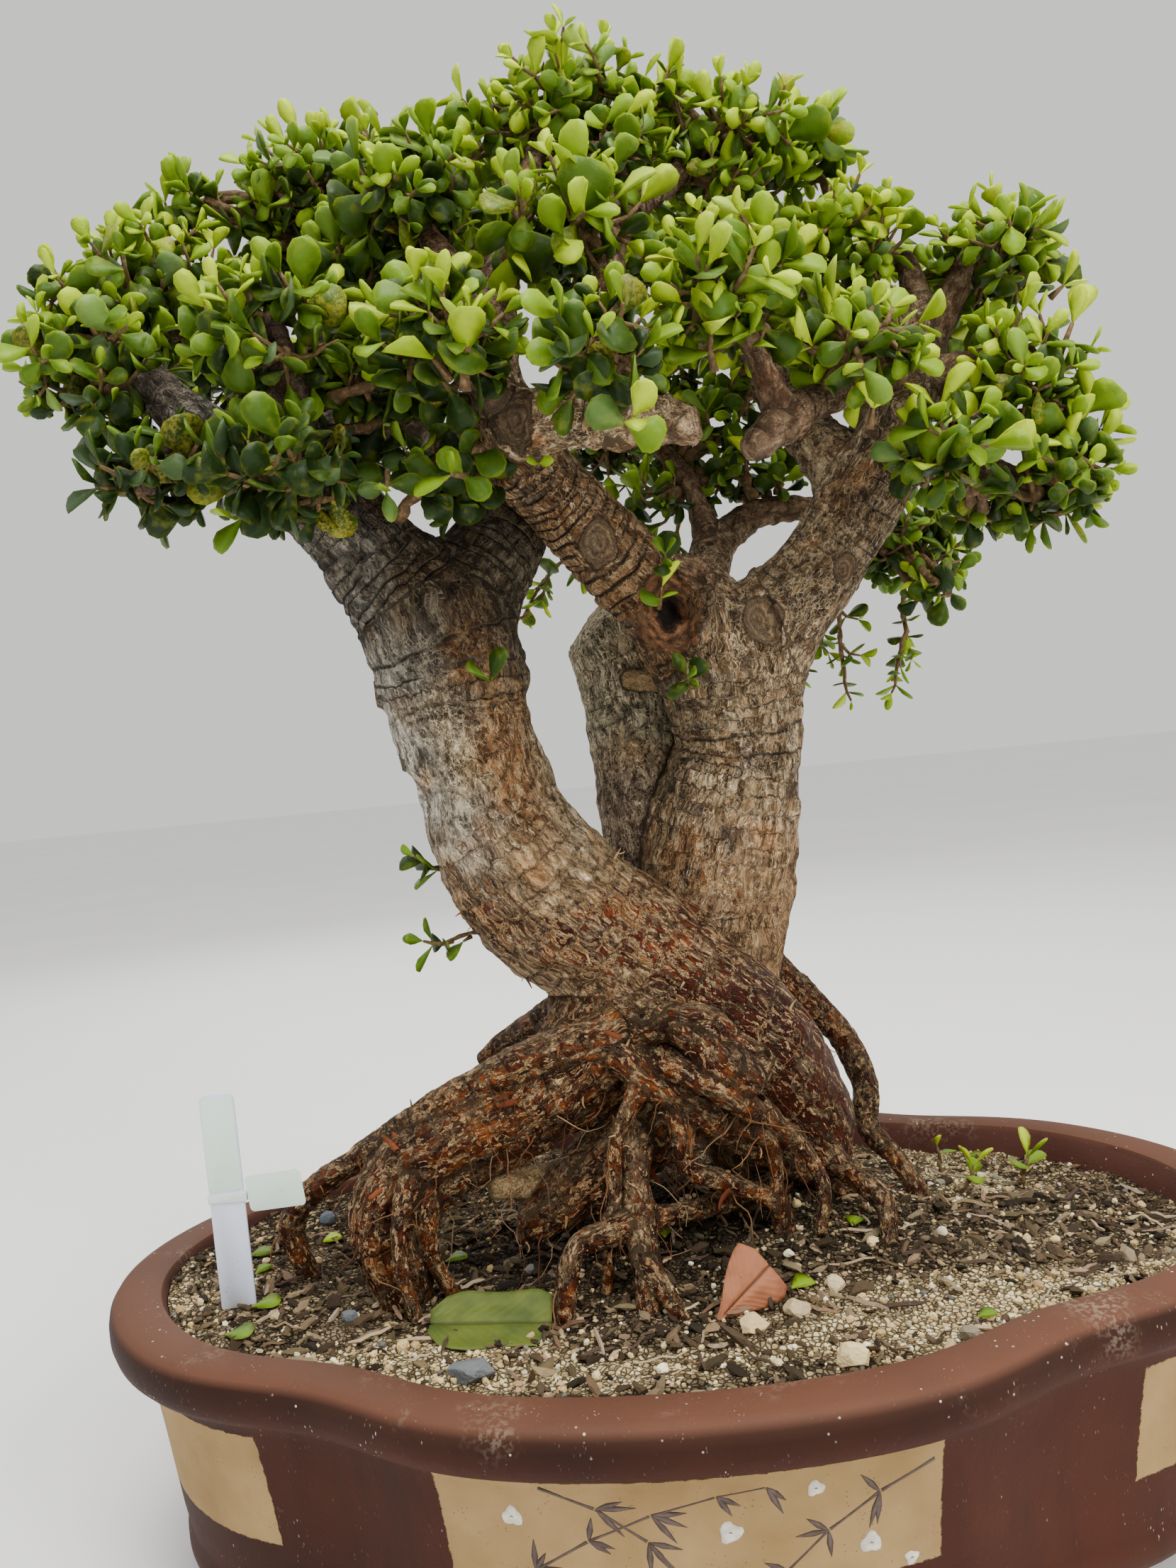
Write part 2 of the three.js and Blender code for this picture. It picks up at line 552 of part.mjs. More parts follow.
const greenLeaf = leafBlade(48, 42, 9);
greenLeaf.rotateX(0.28);
greenLeaf.rotateZ(-0.1);
addPiece('fallen_leaf_green', solidOf(placed(greenLeaf, -82, -94, 137)), COLOURS.leaf);
const dryLeaf = leafBlade(38, 34, 1);
dryLeaf.rotateZ(2.3);
dryLeaf.rotateX(0.5);
addPiece('fallen_leaf_dry', solidOf(placed(dryLeaf, 30, -84, 144)), COLOURS.dryLeaf);

addPiece('tag_stake', stake, COLOURS.plastic);
const label = plate(TAG.width - 1, 44, 0.5);
addPiece('tag_label', inPlace(placed(label, 0, -TAG.thickness / 2 - 0.6, 88.7)), COLOURS.paper);
addPiece('tag_band', inPlace(placed(geometryOf(tagBand()), 0, 0, TAG.bandMiddle)), COLOURS.tape);
const flag = plate(28, 17, 0.5);
flag.rotateY(-0.1);
addPiece('tag_flag', inPlace(placed(flag, 23.8, -0.5, TAG.bandMiddle + 2.3)), COLOURS.paper);

export default bonsai;
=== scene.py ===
import math
import random

import bpy
import numpy as np
from mathutils import Matrix, Vector, noise
from mathutils.bvhtree import BVHTree


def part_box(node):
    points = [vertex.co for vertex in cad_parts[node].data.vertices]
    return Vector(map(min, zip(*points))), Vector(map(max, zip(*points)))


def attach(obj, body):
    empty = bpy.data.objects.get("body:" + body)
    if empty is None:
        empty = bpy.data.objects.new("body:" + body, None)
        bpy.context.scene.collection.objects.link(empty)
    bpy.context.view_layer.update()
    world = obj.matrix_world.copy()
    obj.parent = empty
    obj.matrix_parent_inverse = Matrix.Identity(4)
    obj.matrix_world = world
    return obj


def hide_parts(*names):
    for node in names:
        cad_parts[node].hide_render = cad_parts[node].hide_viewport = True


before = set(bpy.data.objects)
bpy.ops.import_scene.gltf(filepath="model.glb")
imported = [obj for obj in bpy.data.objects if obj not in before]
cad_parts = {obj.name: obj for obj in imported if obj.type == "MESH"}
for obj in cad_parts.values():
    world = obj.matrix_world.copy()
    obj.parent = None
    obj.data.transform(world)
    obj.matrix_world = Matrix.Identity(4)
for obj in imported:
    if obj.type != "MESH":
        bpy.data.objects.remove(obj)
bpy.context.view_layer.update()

MM = 0.001
TURN = 2 * math.pi

# ------------------------------------------------------------------ driving dimensions

CAMERA = {
    "place": (-0.0043, -0.6012, 0.3697),
    "yaw": -1.761,
    "pitch": -1.2255,
    "roll": -5.477,
    "focal": 1700.0,
    "frame": (1659, 2212),
}

POT_LOW, POT_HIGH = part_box("pot_body")
POT = {
    "length": POT_HIGH.x - POT_LOW.x,
    "depth": 0.374,
    "height": POT_HIGH.z,
    "roundness": 1.956,
    "notch_angle": 0.947,
    "notch_depth": 0.068,
    "notch_width": 0.2156,
    "sides": 224,
}

# The pale windows on the pot's wall, in metres: their heights, half widths and small shifts, and the blur
# of their edge.
PANEL = {
    "top": 0.1075, "bottom": 0.0588, "front": 0.0985, "front_shift": 0.0065, "end": 0.141, "end_drop": 0.0045,
    "blur": 0.0003,
}

# Routes of the limbs as [x, y, z, radius] stations in millimetres, from the thick end.
LEFT_WOOD = {
    "trunk": [
        [84, 16, 148, 9], [80, 13, 162, 14], [72, 8, 186, 22], [50, 0, 220, 28], [17, -8, 252, 32],
        [-17, -14, 280, 35], [-47, -20, 308, 38], [-66, -24, 340, 34], [-73, -25, 370, 32],
        [-80, -25, 396, 32], [-83, -26, 418, 33], [-87, -27, 434, 33],
    ],
    "left_limb": [
        [-92, -27, 442, 27], [-109, -32, 469, 26], [-125, -38, 491, 22], [-144, -44, 507, 18],
        [-164, -48, 521, 15], [-185, -50, 539, 12], [-203, -50, 560, 10], [-218, -42, 582, 8],
        [-222, -32, 606, 5],
    ],
    "rear_limb": [
        [-85, -25, 440, 24], [-64, -12, 466, 23], [-50, 8, 494, 21], [-53, 30, 529, 18], [-58, 50, 564, 15],
        [-54, 68, 600, 12], [-54, 80, 640, 9], [-60, 92, 680, 6],
    ],
    "front_branch": [[-139, -44, 503, 12], [-130, -68, 522, 9], [-132, -82, 545, 7], [-135, -88, 568, 4]],
    "skirt_branch": [[-130, -45, 494, 10], [-134, -70, 499, 7], [-137, -98, 503, 4]],
    "up_branch": [
        [-143, -40, 507, 12], [-132, -14, 546, 10], [-134, 5, 587, 8], [-140, 16, 628, 7], [-144, 24, 672, 5],
    ],
    "low_branch": [[-185, -50, 539, 8], [-195, -62, 522, 6], [-202, -70, 508, 4]],
    "back_branch": [
        [-137, -38, 500, 10], [-155, 20, 555, 9], [-180, 66, 598, 8], [-212, 92, 618, 6], [-238, 104, 632, 5],
    ],
    "inner_branch": [[-55, 34, 532, 12], [-85, 60, 548, 9], [-115, 82, 566, 7], [-142, 96, 582, 5]],
    "long_root": [
        [-22, -44, 242, 9], [-53, -52, 237, 8], [-81, -54, 228, 7], [-114, -48, 211, 7], [-149, -36, 190, 6],
        [-176, -26, 172, 6], [-187, -22, 156, 6], [-184, -20, 138, 6], [-178, -20, 121, 5],
    ],
    "broad_root": [
        [-26, -20, 242, 26], [-44, -36, 224, 20], [-72, -44, 211, 18], [-99, -50, 201, 15],
        [-123, -52, 190, 13], [-137, -52, 174, 12], [-138, -52, 156, 12], [-131, -53, 134, 11],
        [-128, -53, 120, 10],
    ],
    "thin_left_root": [[-112, -55, 188, 5], [-113, -60, 167, 4], [-112, -58, 150, 3], [-103, -52, 122, 3]],
    "broken_stick": [[-40, -22, 172, 7], [-60, -34, 173, 6], [-83, -46, 175, 6]],
    "under_root": [
        [20, -12, 224, 20], [4, -18, 204, 15], [-14, -26, 188, 13], [-39, -36, 176, 11], [-63, -40, 162, 7],
        [-70, -40, 150, 5],
    ],
    "front_right_root": [
        [-21, -44, 236, 8], [-9, -52, 224, 6], [6, -53, 210, 6], [21, -49, 196, 6], [34, -40, 184, 5],
        [55, -22, 166, 5], [76, -6, 150, 4], [90, 4, 128, 4],
    ],
    "arch_root": [
        [-51, -92, 120, 4], [-50, -88, 144, 5], [-44, -80, 157, 5], [-28, -72, 160, 5], [-9, -62, 160, 5],
        [11, -46, 157, 5], [32, -26, 153, 5], [54, -6, 152, 6], [74, 10, 156, 8],
    ],
    "post_root": [
        [-14, -34, 194, 8], [-16, -54, 180, 6], [-16, -66, 162, 6], [-15, -82, 146, 5], [-17, -99, 121, 4],
    ],
    "broken_root": [[-2, -34, 247, 9], [15, -52, 240, 7], [29, -60, 229, 6], [38, -64, 220, 6]],
    "back_stub_root": [[-30, -4, 250, 14], [-56, 20, 238, 8], [-84, 48, 221, 5], [-96, 56, 211, 4]],
    "right_root": [
        [58, 2, 196, 10], [70, -2, 174, 8], [80, -10, 162, 6], [90, -22, 155, 5], [98, -34, 149, 5],
        [97, -48, 139, 4], [93, -58, 121, 3],
    ],
}

RIGHT_WOOD = {
    "trunk": [
        [52, 46, 128, 19], [48, 42, 152, 24], [41, 42, 178, 29], [35, 42, 215, 34], [32, 40, 248, 36],
        [33, 36, 281, 40], [39, 32, 311, 41], [48, 28, 340, 37], [54, 24, 366, 32], [55, 20, 393, 33],
        [54, 16, 420, 37],
    ],
    "cut_stub": [[20, 38, 300, 30], [9, 50, 338, 28], [5, 56, 373, 26], [0, 56, 408, 24], [-12, 54, 440, 20]],
    "left_limb": [
        [49, 16, 412, 28], [33, 8, 432, 25], [13, -2, 454, 22], [-6, -14, 475, 20], [-24, -28, 495, 19],
        [-37, -42, 509, 17], [-43, -56, 521, 14],
    ],
    "front_limb": [
        [-37, -58, 520, 14], [-14, -78, 517, 13], [8, -92, 512, 11], [26, -99, 506, 9], [38, -103, 501, 8],
    ],
    "crown_left_branch": [
        [-43, -56, 520, 12], [-43, -62, 546, 10], [-41, -62, 574, 8], [-31, -50, 612, 7], [-20, -30, 650, 5],
        [-14, -16, 680, 4],
    ],
    "crown_side_branch": [[-42, -62, 560, 8], [-58, -52, 590, 7], [-72, -42, 620, 5], [-80, -36, 644, 4]],
    "crown_spur": [[-43, -58, 528, 10], [-50, -80, 537, 7], [-57, -98, 547, 5]],
    "crown_branch": [
        [7, -90, 510, 10], [9, -84, 546, 8], [10, -72, 584, 7], [12, -50, 625, 6], [4, -24, 662, 5],
        [0, -12, 684, 4],
    ],
    "crown_right_branch": [[10, -64, 598, 7], [34, -40, 626, 6], [54, -14, 648, 5], [66, 0, 668, 4]],
    "crown_low_branch": [[10, -92, 512, 8], [6, -108, 519, 6], [3, -122, 527, 4]],
    "right_limb": [
        [60, 16, 411, 28], [79, 10, 428, 23], [99, 2, 450, 21], [120, -6, 477, 20], [133, -12, 499, 18],
        [146, -14, 522, 14], [153, -14, 544, 12], [158, -8, 573, 8], [158, 2, 598, 5],
    ],
    "right_front_branch": [
        [150, -16, 540, 10], [122, -46, 530, 8], [93, -72, 514, 8], [73, -90, 500, 7], [62, -98, 492, 6],
    ],
    "right_inner_branch": [[78, -84, 503, 7], [68, -98, 522, 5], [60, -104, 543, 4]],
    "right_back_branch": [
        [122, 0, 486, 16], [114, 18, 512, 14], [102, 40, 538, 13], [94, 62, 567, 10], [92, 88, 602, 8],
        [95, 108, 634, 6],
    ],
    "crown_back_branch": [[93, 74, 584, 8], [66, 94, 620, 7], [40, 110, 650, 6], [22, 118, 674, 4]],
    "right_side_branch": [[133, -14, 497, 11], [162, -26, 491, 7], [184, -34, 482, 6], [198, -38, 476, 4]],
    "right_low_branch": [[134, -20, 497, 8], [143, -44, 494, 6], [150, -62, 491, 4]],
    "right_crown_branch": [[150, -14, 536, 9], [138, -8, 570, 7], [128, 0, 604, 4]],
    "right_up_branch": [[153, -14, 542, 9], [170, -14, 566, 7], [184, -15, 594, 4]],
    "right_edge_branch": [[152, -14, 532, 9], [176, -28, 536, 6], [200, -35, 536, 4]],
    "right_far_branch": [[134, 0, 503, 12], [144, 46, 542, 9], [160, 78, 574, 7], [180, 94, 590, 5]],
    "back_branch": [
        [48, 26, 436, 14], [53, 62, 471, 10], [79, 86, 496, 8], [108, 100, 502, 7], [138, 105, 492, 6],
        [164, 105, 482, 4],
    ],
    "back_twig": [[54, 64, 473, 8], [50, 82, 510, 6], [38, 102, 540, 5], [18, 118, 562, 4]],
    "back_root": [
        [60, 56, 246, 14], [85, 62, 224, 9], [102, 58, 203, 8], [109, 48, 180, 7], [107, 38, 161, 6],
        [116, 28, 149, 5], [125, 18, 134, 5], [130, 12, 116, 4],
    ],
    "rear_root": [[30, 62, 200, 12], [8, 92, 176, 8], [-16, 116, 152, 6], [-32, 132, 118, 5]],
}

# Roots and stubs too slight for the solid model, grown onto the wood here.
SLIGHT_LIMBS = {
    "left_trunk": {
        "broad_side_root": [
            [-22, -14, 228, 23], [-46, -26, 213, 19], [-72, -38, 200, 15], [-97, -46, 187, 12],
            [-120, -50, 168, 10], [-126, -54, 128, 8],
        ],
        "under_side_root": [[14, -22, 206, 18], [-12, -30, 186, 16], [-40, -38, 170, 13], [-62, -42, 156, 8]],
        "root_mat": [
            [34, 4, 214, 20], [16, 12, 198, 19], [-6, 16, 184, 17], [-30, 16, 172, 15], [-46, 18, 150, 12],
            [-50, 20, 124, 10],
        ],
        "bent_root": [
            [-6, -42, 222, 6], [3, -52, 208, 5], [6, -57, 194, 5], [7, -57, 181, 5], [16, -54, 174, 4.5],
            [33, -46, 164, 4], [49, -38, 152, 3.5], [54, -36, 132, 3],
        ],
        "hanging_root": [
            [16, -38, 216, 5], [25, -46, 201, 3.5], [38, -48, 191, 3.2], [46, -44, 184, 3],
            [49, -41, 170, 2.6], [48, -39, 140, 2.4],
        ],
        "knotty_root": [
            [-14, -38, 252, 7], [0, -52, 250, 5.5], [13, -60, 245, 7], [20, -64, 236, 5.5], [25, -64, 229, 7],
            [40, -60, 222, 5], [46, -56, 222, 5.5],
        ],
        "side_root": [
            [-2, -40, 230, 6], [-14, -56, 214, 4], [-24, -62, 196, 3.4], [-28, -66, 170, 3],
            [-34, -72, 132, 2.6],
        ],
        "split_root": [[-16, -80, 150, 4], [-8, -92, 142, 3.6], [2, -100, 124, 3]],
        "left_foot_root": [
            [-112, -48, 204, 5], [-120, -66, 184, 4], [-124, -74, 160, 3.4], [-118, -76, 124, 3],
        ],
        "tangle_root": [
            [-12, -40, 240, 7], [2, -56, 246, 5], [16, -62, 250, 5.5], [26, -60, 244, 6], [34, -56, 236, 5],
            [44, -48, 226, 5],
        ],
        "low_tangle_root": [
            [-4, -46, 232, 6], [8, -60, 226, 5], [22, -66, 218, 5.5], [34, -60, 208, 5], [42, -48, 200, 5],
        ],
        "hooked_root": [
            [44, -30, 196, 6], [56, -36, 184, 4.5], [66, -36, 172, 4], [70, -40, 158, 3.4], [66, -46, 140, 3],
        ],
        "low_nub": [[-98, -28, 407, 5.5], [-117, -29, 409, 5]],
        "small_nub": [[-96, -29, 376, 3.4], [-108, -30, 376, 3]],
    },
    "right_trunk": {
        "twig_stub": [[26, 28, 405, 4], [4, 32, 408, 3.6]], "knob": [[34, -2, 448, 11], [38, -14, 456, 8]],
    },
}

# Usual gap between the creases across a limb, in millimetres.
CREASE_GAPS = {"left_limb": 5.6, "rear_limb": 5.2, "right_limb": 7, "trunk": 7.5, "cut_stub": 11}

# Limbs that end in a saw cut: a place on the cut and the direction it faces.
CUT_ENDS = {
    "cut_stub": ((-14, 55, 442), (-0.72, -0.3, 0.62)), "front_limb": ((39, -104, 501), (0.93, -0.35, 0.05)),
    "broken_stick": ((-84, -47, 175), (-0.9, -0.4, 0.1)),
}

# Marks on the bark: kind, [x, y, z] of the middle, its radius, the height of its lip, the depth of its
# middle.
BARK_MARKS = {
    "left": [("nub", (-62, -12, 414), 15, 4.0, 0.0), ("nub", (-84, -40, 306), 8, 2.5, 0.0)],
    "right": [
        ("knot", (29, -18, 437), 15, 5.0, 11.0), ("scar", (66, -12, 424), 10.5, 2.6, 2.0),
        ("scar", (-35, -73, 519), 12, 2.2, 2.0), ("scar", (-6, -36, 469), 9.5, 1.8, 0.6),
        ("scar", (43, -16, 443), 4.5, 1.2, 0.6), ("scar", (110, -18, 448), 6, 1.8, 1.2),
        ("nub", (118, -22, 470), 9, 2.4, 0.0),
    ],
}

# Clumps of foliage: [x, y, z, half width, half depth, half height, brightness]; the brightness paints light
# and shade over the crown as well as the leaves' tone.
PADS = {
    "left_tip": [-226, -52, 566, 42, 48, 38, 0.31], "left_low": [-196, -66, 513, 37, 42, 22, 0.0],
    "left_front": [-134, -94, 501, 34, 40, 26, -0.01], "left_upper": [-202, -16, 613, 46, 58, 38, 0.42],
    "left_middle": [-134, -82, 562, 40, 44, 36, 0.29], "left_top": [-132, 22, 668, 45, 62, 38, 0.42],
    "left_back": [-222, 100, 625, 50, 52, 48, 0.36], "left_inner": [-138, 96, 578, 50, 50, 44, 0.24],
    "crown_left": [-76, -36, 633, 38, 52, 40, 0.36], "crown_front_left": [-60, -104, 546, 36, 40, 31, 0.32],
    "crown_top": [-3, -10, 676, 50, 60, 38, 0.46], "crown_front": [-7, -76, 600, 40, 46, 36, 0.5],
    "crown_low": [3, -124, 528, 31, 36, 24, 0.3], "crown_right": [75, -2, 652, 47, 60, 40, 0.5],
    "crown_inner": [54, -102, 555, 36, 44, 36, 0.5], "crown_back_left": [-74, 106, 676, 56, 56, 54, 0.42],
    "crown_back": [18, 120, 676, 52, 54, 54, 0.42], "crown_back_right": [99, 114, 642, 48, 52, 52, 0.42],
    "center_back": [14, 122, 560, 54, 48, 40, 0.26], "right_crown": [128, 2, 605, 37, 52, 36, 0.5],
    "right_front": [112, -78, 533, 36, 40, 29, 0.46], "right_top": [190, -15, 588, 36, 48, 31, 0.52],
    "right_edge": [195, -36, 525, 34, 46, 34, 0.5], "right_side": [204, -40, 474, 32, 44, 27, 0.38],
    "right_low": [150, -66, 489, 26, 34, 21, 0.34], "right_far": [188, 96, 588, 50, 54, 48, 0.4],
    "right_back": [168, 106, 476, 46, 46, 30, 0.32],
}

# Smaller clumps that close the gaps between the pads.
FILLING = {
    "left_edge": [-237, -48, 600, 14, 30, 18, 0.34], "top_left": [-100, 10, 676, 18, 34, 15, 0.42],
    "left_between": [-112, 0, 614, 27, 42, 32, 0.3], "left_high": [-187, 2, 662, 18, 26, 15, 0.42],
    "left_core": [-157, 14, 646, 20, 28, 20, 0.3], "top": [44, -10, 681, 19, 30, 13, 0.52],
    "top_right": [112, 4, 655, 22, 34, 20, 0.5], "high_behind": [46, 84, 592, 28, 26, 26, 0.34],
    "middle_behind": [70, 92, 556, 28, 24, 28, 0.32], "low_behind": [80, 96, 520, 40, 22, 22, 0.28],
    "right_high": [210, -12, 588, 13, 24, 14, 0.52], "right_between": [212, -40, 500, 13, 26, 18, 0.44],
    "right_core": [184, 6, 474, 22, 26, 16, 0.3], "right_drop": [174, 64, 444, 18, 20, 16, 0.3],
    "low_inner": [30, 88, 512, 22, 20, 18, 0.26], "front_left": [-72, -66, 500, 24, 24, 22, 0.06],
    "front_core": [-94, -66, 544, 24, 28, 24, 0.18], "top_core": [-44, 0, 680, 20, 32, 18, 0.48],
    "crown_core": [20, -40, 640, 30, 34, 24, 0.38],
}

# Big-leaved shoots that stand out in front: [x, y, z], direction, leaf length, pairs, brightness.
BOLD_SHOOTS = [
    [(-50, -134, 528), (0.15, -0.35, 0.9), 25, 1, 0.42], [(-49, -138, 537), (0.0, -0.3, 1.0), 16, 1, 0.95],
    [(-66, -126, 528), (-0.6, -0.6, 0.2), 23, 1, 0.3], [(10, -146, 492), (0.0, -1.0, -0.25), 18, 2, 0.5],
    [(46, -118, 531), (-0.1, -0.8, 0.3), 20, 2, 0.48], [(115, -86, 505), (0.25, -0.2, 1.0), 17, 1, 0.92],
    [(140, -76, 478), (0.0, -0.9, 0.1), 17, 2, 0.3], [(-62, -112, 486), (-0.2, -0.8, -0.3), 17, 2, 0.26],
    [(-28, -84, 494), (0.1, -0.8, -0.6), 11, 1, 0.34], [(22, -28, 448), (0.2, -0.4, 0.9), 12, 2, 0.45],
    [(-159, -70, 488), (-0.3, -0.4, -0.7), 15, 2, 0.25], [(-92, -98, 486), (0.0, -0.5, -0.8), 15, 2, 0.22],
    [(-3, -44, 680), (-0.1, -0.3, 1.0), 18, 2, 0.55], [(35, -34, 681), (0.1, -0.2, 1.0), 17, 2, 0.55],
    [(198, -20, 602), (0.2, -0.2, 1.0), 17, 2, 0.72], [(224, -24, 566), (1.0, -0.2, 0.2), 16, 1, 0.75],
    [(216, -42, 462), (1.0, -0.2, 0.15), 17, 2, 0.6], [(-204, -4, 664), (-0.2, -0.2, 1.0), 16, 2, 0.4],
    [(-124, 34, 703), (0.1, -0.2, 1.0), 16, 2, 0.4],
]

# Sprays that hang below the back of the crown: [x, y, z] and direction.
HANGING = [
    [(118, 98, 456), (0.0, 0.0, -1.0)], [(128, 108, 452), (0.2, 0.1, -1.0)],
    [(168, 106, 452), (0.1, -0.1, -1.0)], [(-18, 114, 500), (-0.3, 0.0, -0.9)],
    [(-34, 118, 516), (-0.6, 0.0, -0.5)], [(44, 122, 512), (0.1, 0.2, -0.9)],
]

# Shoots on the bare trunks and seedlings in the soil: base, tip, pairs of leaves, leaf length, brightness.
SHOOTS = {
    "shoot_low_left": [(-72, -21, 291), (-95, -30, 289), 3, 12, 0.1],
    "shoot_left": [(-88, -26, 321), (-97, -30, 325), 3, 12, 0.16],
    "shoot_front": [(-64, -52, 402), (-60, -60, 405), 1, 15, 0.02],
    "shoot_clover": [(33, -12, 399), (31, -22, 401), 2, 10, 0.08],
    "shoot_knot": [(25, -24, 452), (24, -33, 456), 2, 9, 0.2],
    "seedling_right": [(150, 26, 124), (154, 25, 133), 2, 11, 0.62],
    "seedling_far": [(184, 42, 122), (187, 40, 130), 2, 12, 0.55],
    "seedling_back": [(150, 66, 122), (149, 66, 130), 2, 10, 0.55],
}

# Small jade leaves lying on the soil: [x, y], turn in degrees, length, brightness.
SHED_LEAVES = [
    [-192, -55, 5, 14, 0.52], [-197, -80, -8, 14, 0.55], [-215, 11, 10, 13, 0.5], [-207, -11, 60, 11, 0.5],
    [-181, 23, 25, 12, 0.86], [-135, -59, 20, 11, 0.42], [51, -82, 30, 13, 0.62], [84, -32, 70, 11, 0.55],
    [68, 36, 40, 11, 0.4], [-6, -34, 90, 12, 0.34], [-108, -22, 20, 12, 0.34], [120, -118, 15, 9, 0.5],
    [-96, 120, 10, 12, 0.5], [60, 128, 50, 12, 0.45], [176, 92, 0, 11, 0.5],
]

# Larger stones: middle, half sizes, the seed of their facets and their colour.
STONES = {
    "stone_white_right": [(84, -8, 133), (10.5, 7, 6), 11, (0.66, 0.6, 0.5)],
    "stone_white_front": [(27, -114, 133), (6.2, 5.4, 4.8), 12, (0.6, 0.45, 0.23)],
    "stone_white_rim": [(62, -143, 132.5), (7, 5.0, 4.8), 13, (0.66, 0.52, 0.27)],
    "stone_cream": [(46, -104, 133.5), (5.4, 4.8, 4.4), 14, (0.48, 0.37, 0.22)],
    "stone_grey": [(-86, -132, 133), (9.5, 6, 4.5), 15, (0.13, 0.14, 0.145)],
}

# How many of the small loose things there are, and the triangles each tree may have.
GRAINS = 4600
FIBRES = 300
ROOTLETS = 230
FLAKES = 270
LARGE_FLAKES = 12
TREE_TRIANGLES = {"left_trunk": 122000, "right_trunk": 96000}

LEAF_LENGTH = 14.2 * MM
TAG = {"place": (-207, -48, 118), "lean": -0.6, "width": 16.5, "height": 112, "thickness": 1.4, "tip": 12}


# ------------------------------------------------------------------ shader maths

class Field:
    """A number that varies over a surface: arithmetic on it adds Math nodes."""

    def __init__(self, paint, socket):
        self.paint = paint
        self.socket = socket

    def _math(self, operation, first, second):
        node = self.paint.node("ShaderNodeMath", {"operation": operation}, {0: first, 1: second})
        return Field(self.paint, node.outputs[0])

    def __add__(self, other):
        return self._math("ADD", self, other)

    __radd__ = __add__

    def __mul__(self, other):
        return self._math("MULTIPLY", self, other)

    __rmul__ = __mul__

    def __sub__(self, other):
        return self._math("SUBTRACT", self, other)

    def __rsub__(self, other):
        return self._math("SUBTRACT", other, self)

    def __pow__(self, other):
        return self._math("POWER", self, other)

    def least(self, other):
        return self._math("MINIMUM", self, other)

    def most(self, other):
        return self._math("MAXIMUM", self, other)

    def fraction(self):
        return self._math("FRACT", self, 0.0)

    def sine(self):
        return self._math("SINE", self, 0.0)

    def line(self, level, width):
        """1 along the contour where the value passes `level`, fading to 0 at `width` from it."""
        return (self - level).size().step(width, width * 0.25)

    def size(self):
        return self._math("ABSOLUTE", self, 0.0)

    def step(self, low, high):
        """0 below `low`, 1 above `high` and a smooth rise between; low > high falls instead."""
        settings = {"interpolation_type": "SMOOTHSTEP"}
        falls = low > high
        first, last = (high, low) if falls else (low, high)
        links = {"Value": self, "From Min": first, "From Max": last}
        links["To Min"] = 1.0 if falls else 0.0
        links["To Max"] = 0.0 if falls else 1.0
        node = self.paint.node("ShaderNodeMapRange", settings, links)
        return Field(self.paint, node.outputs["Result"])


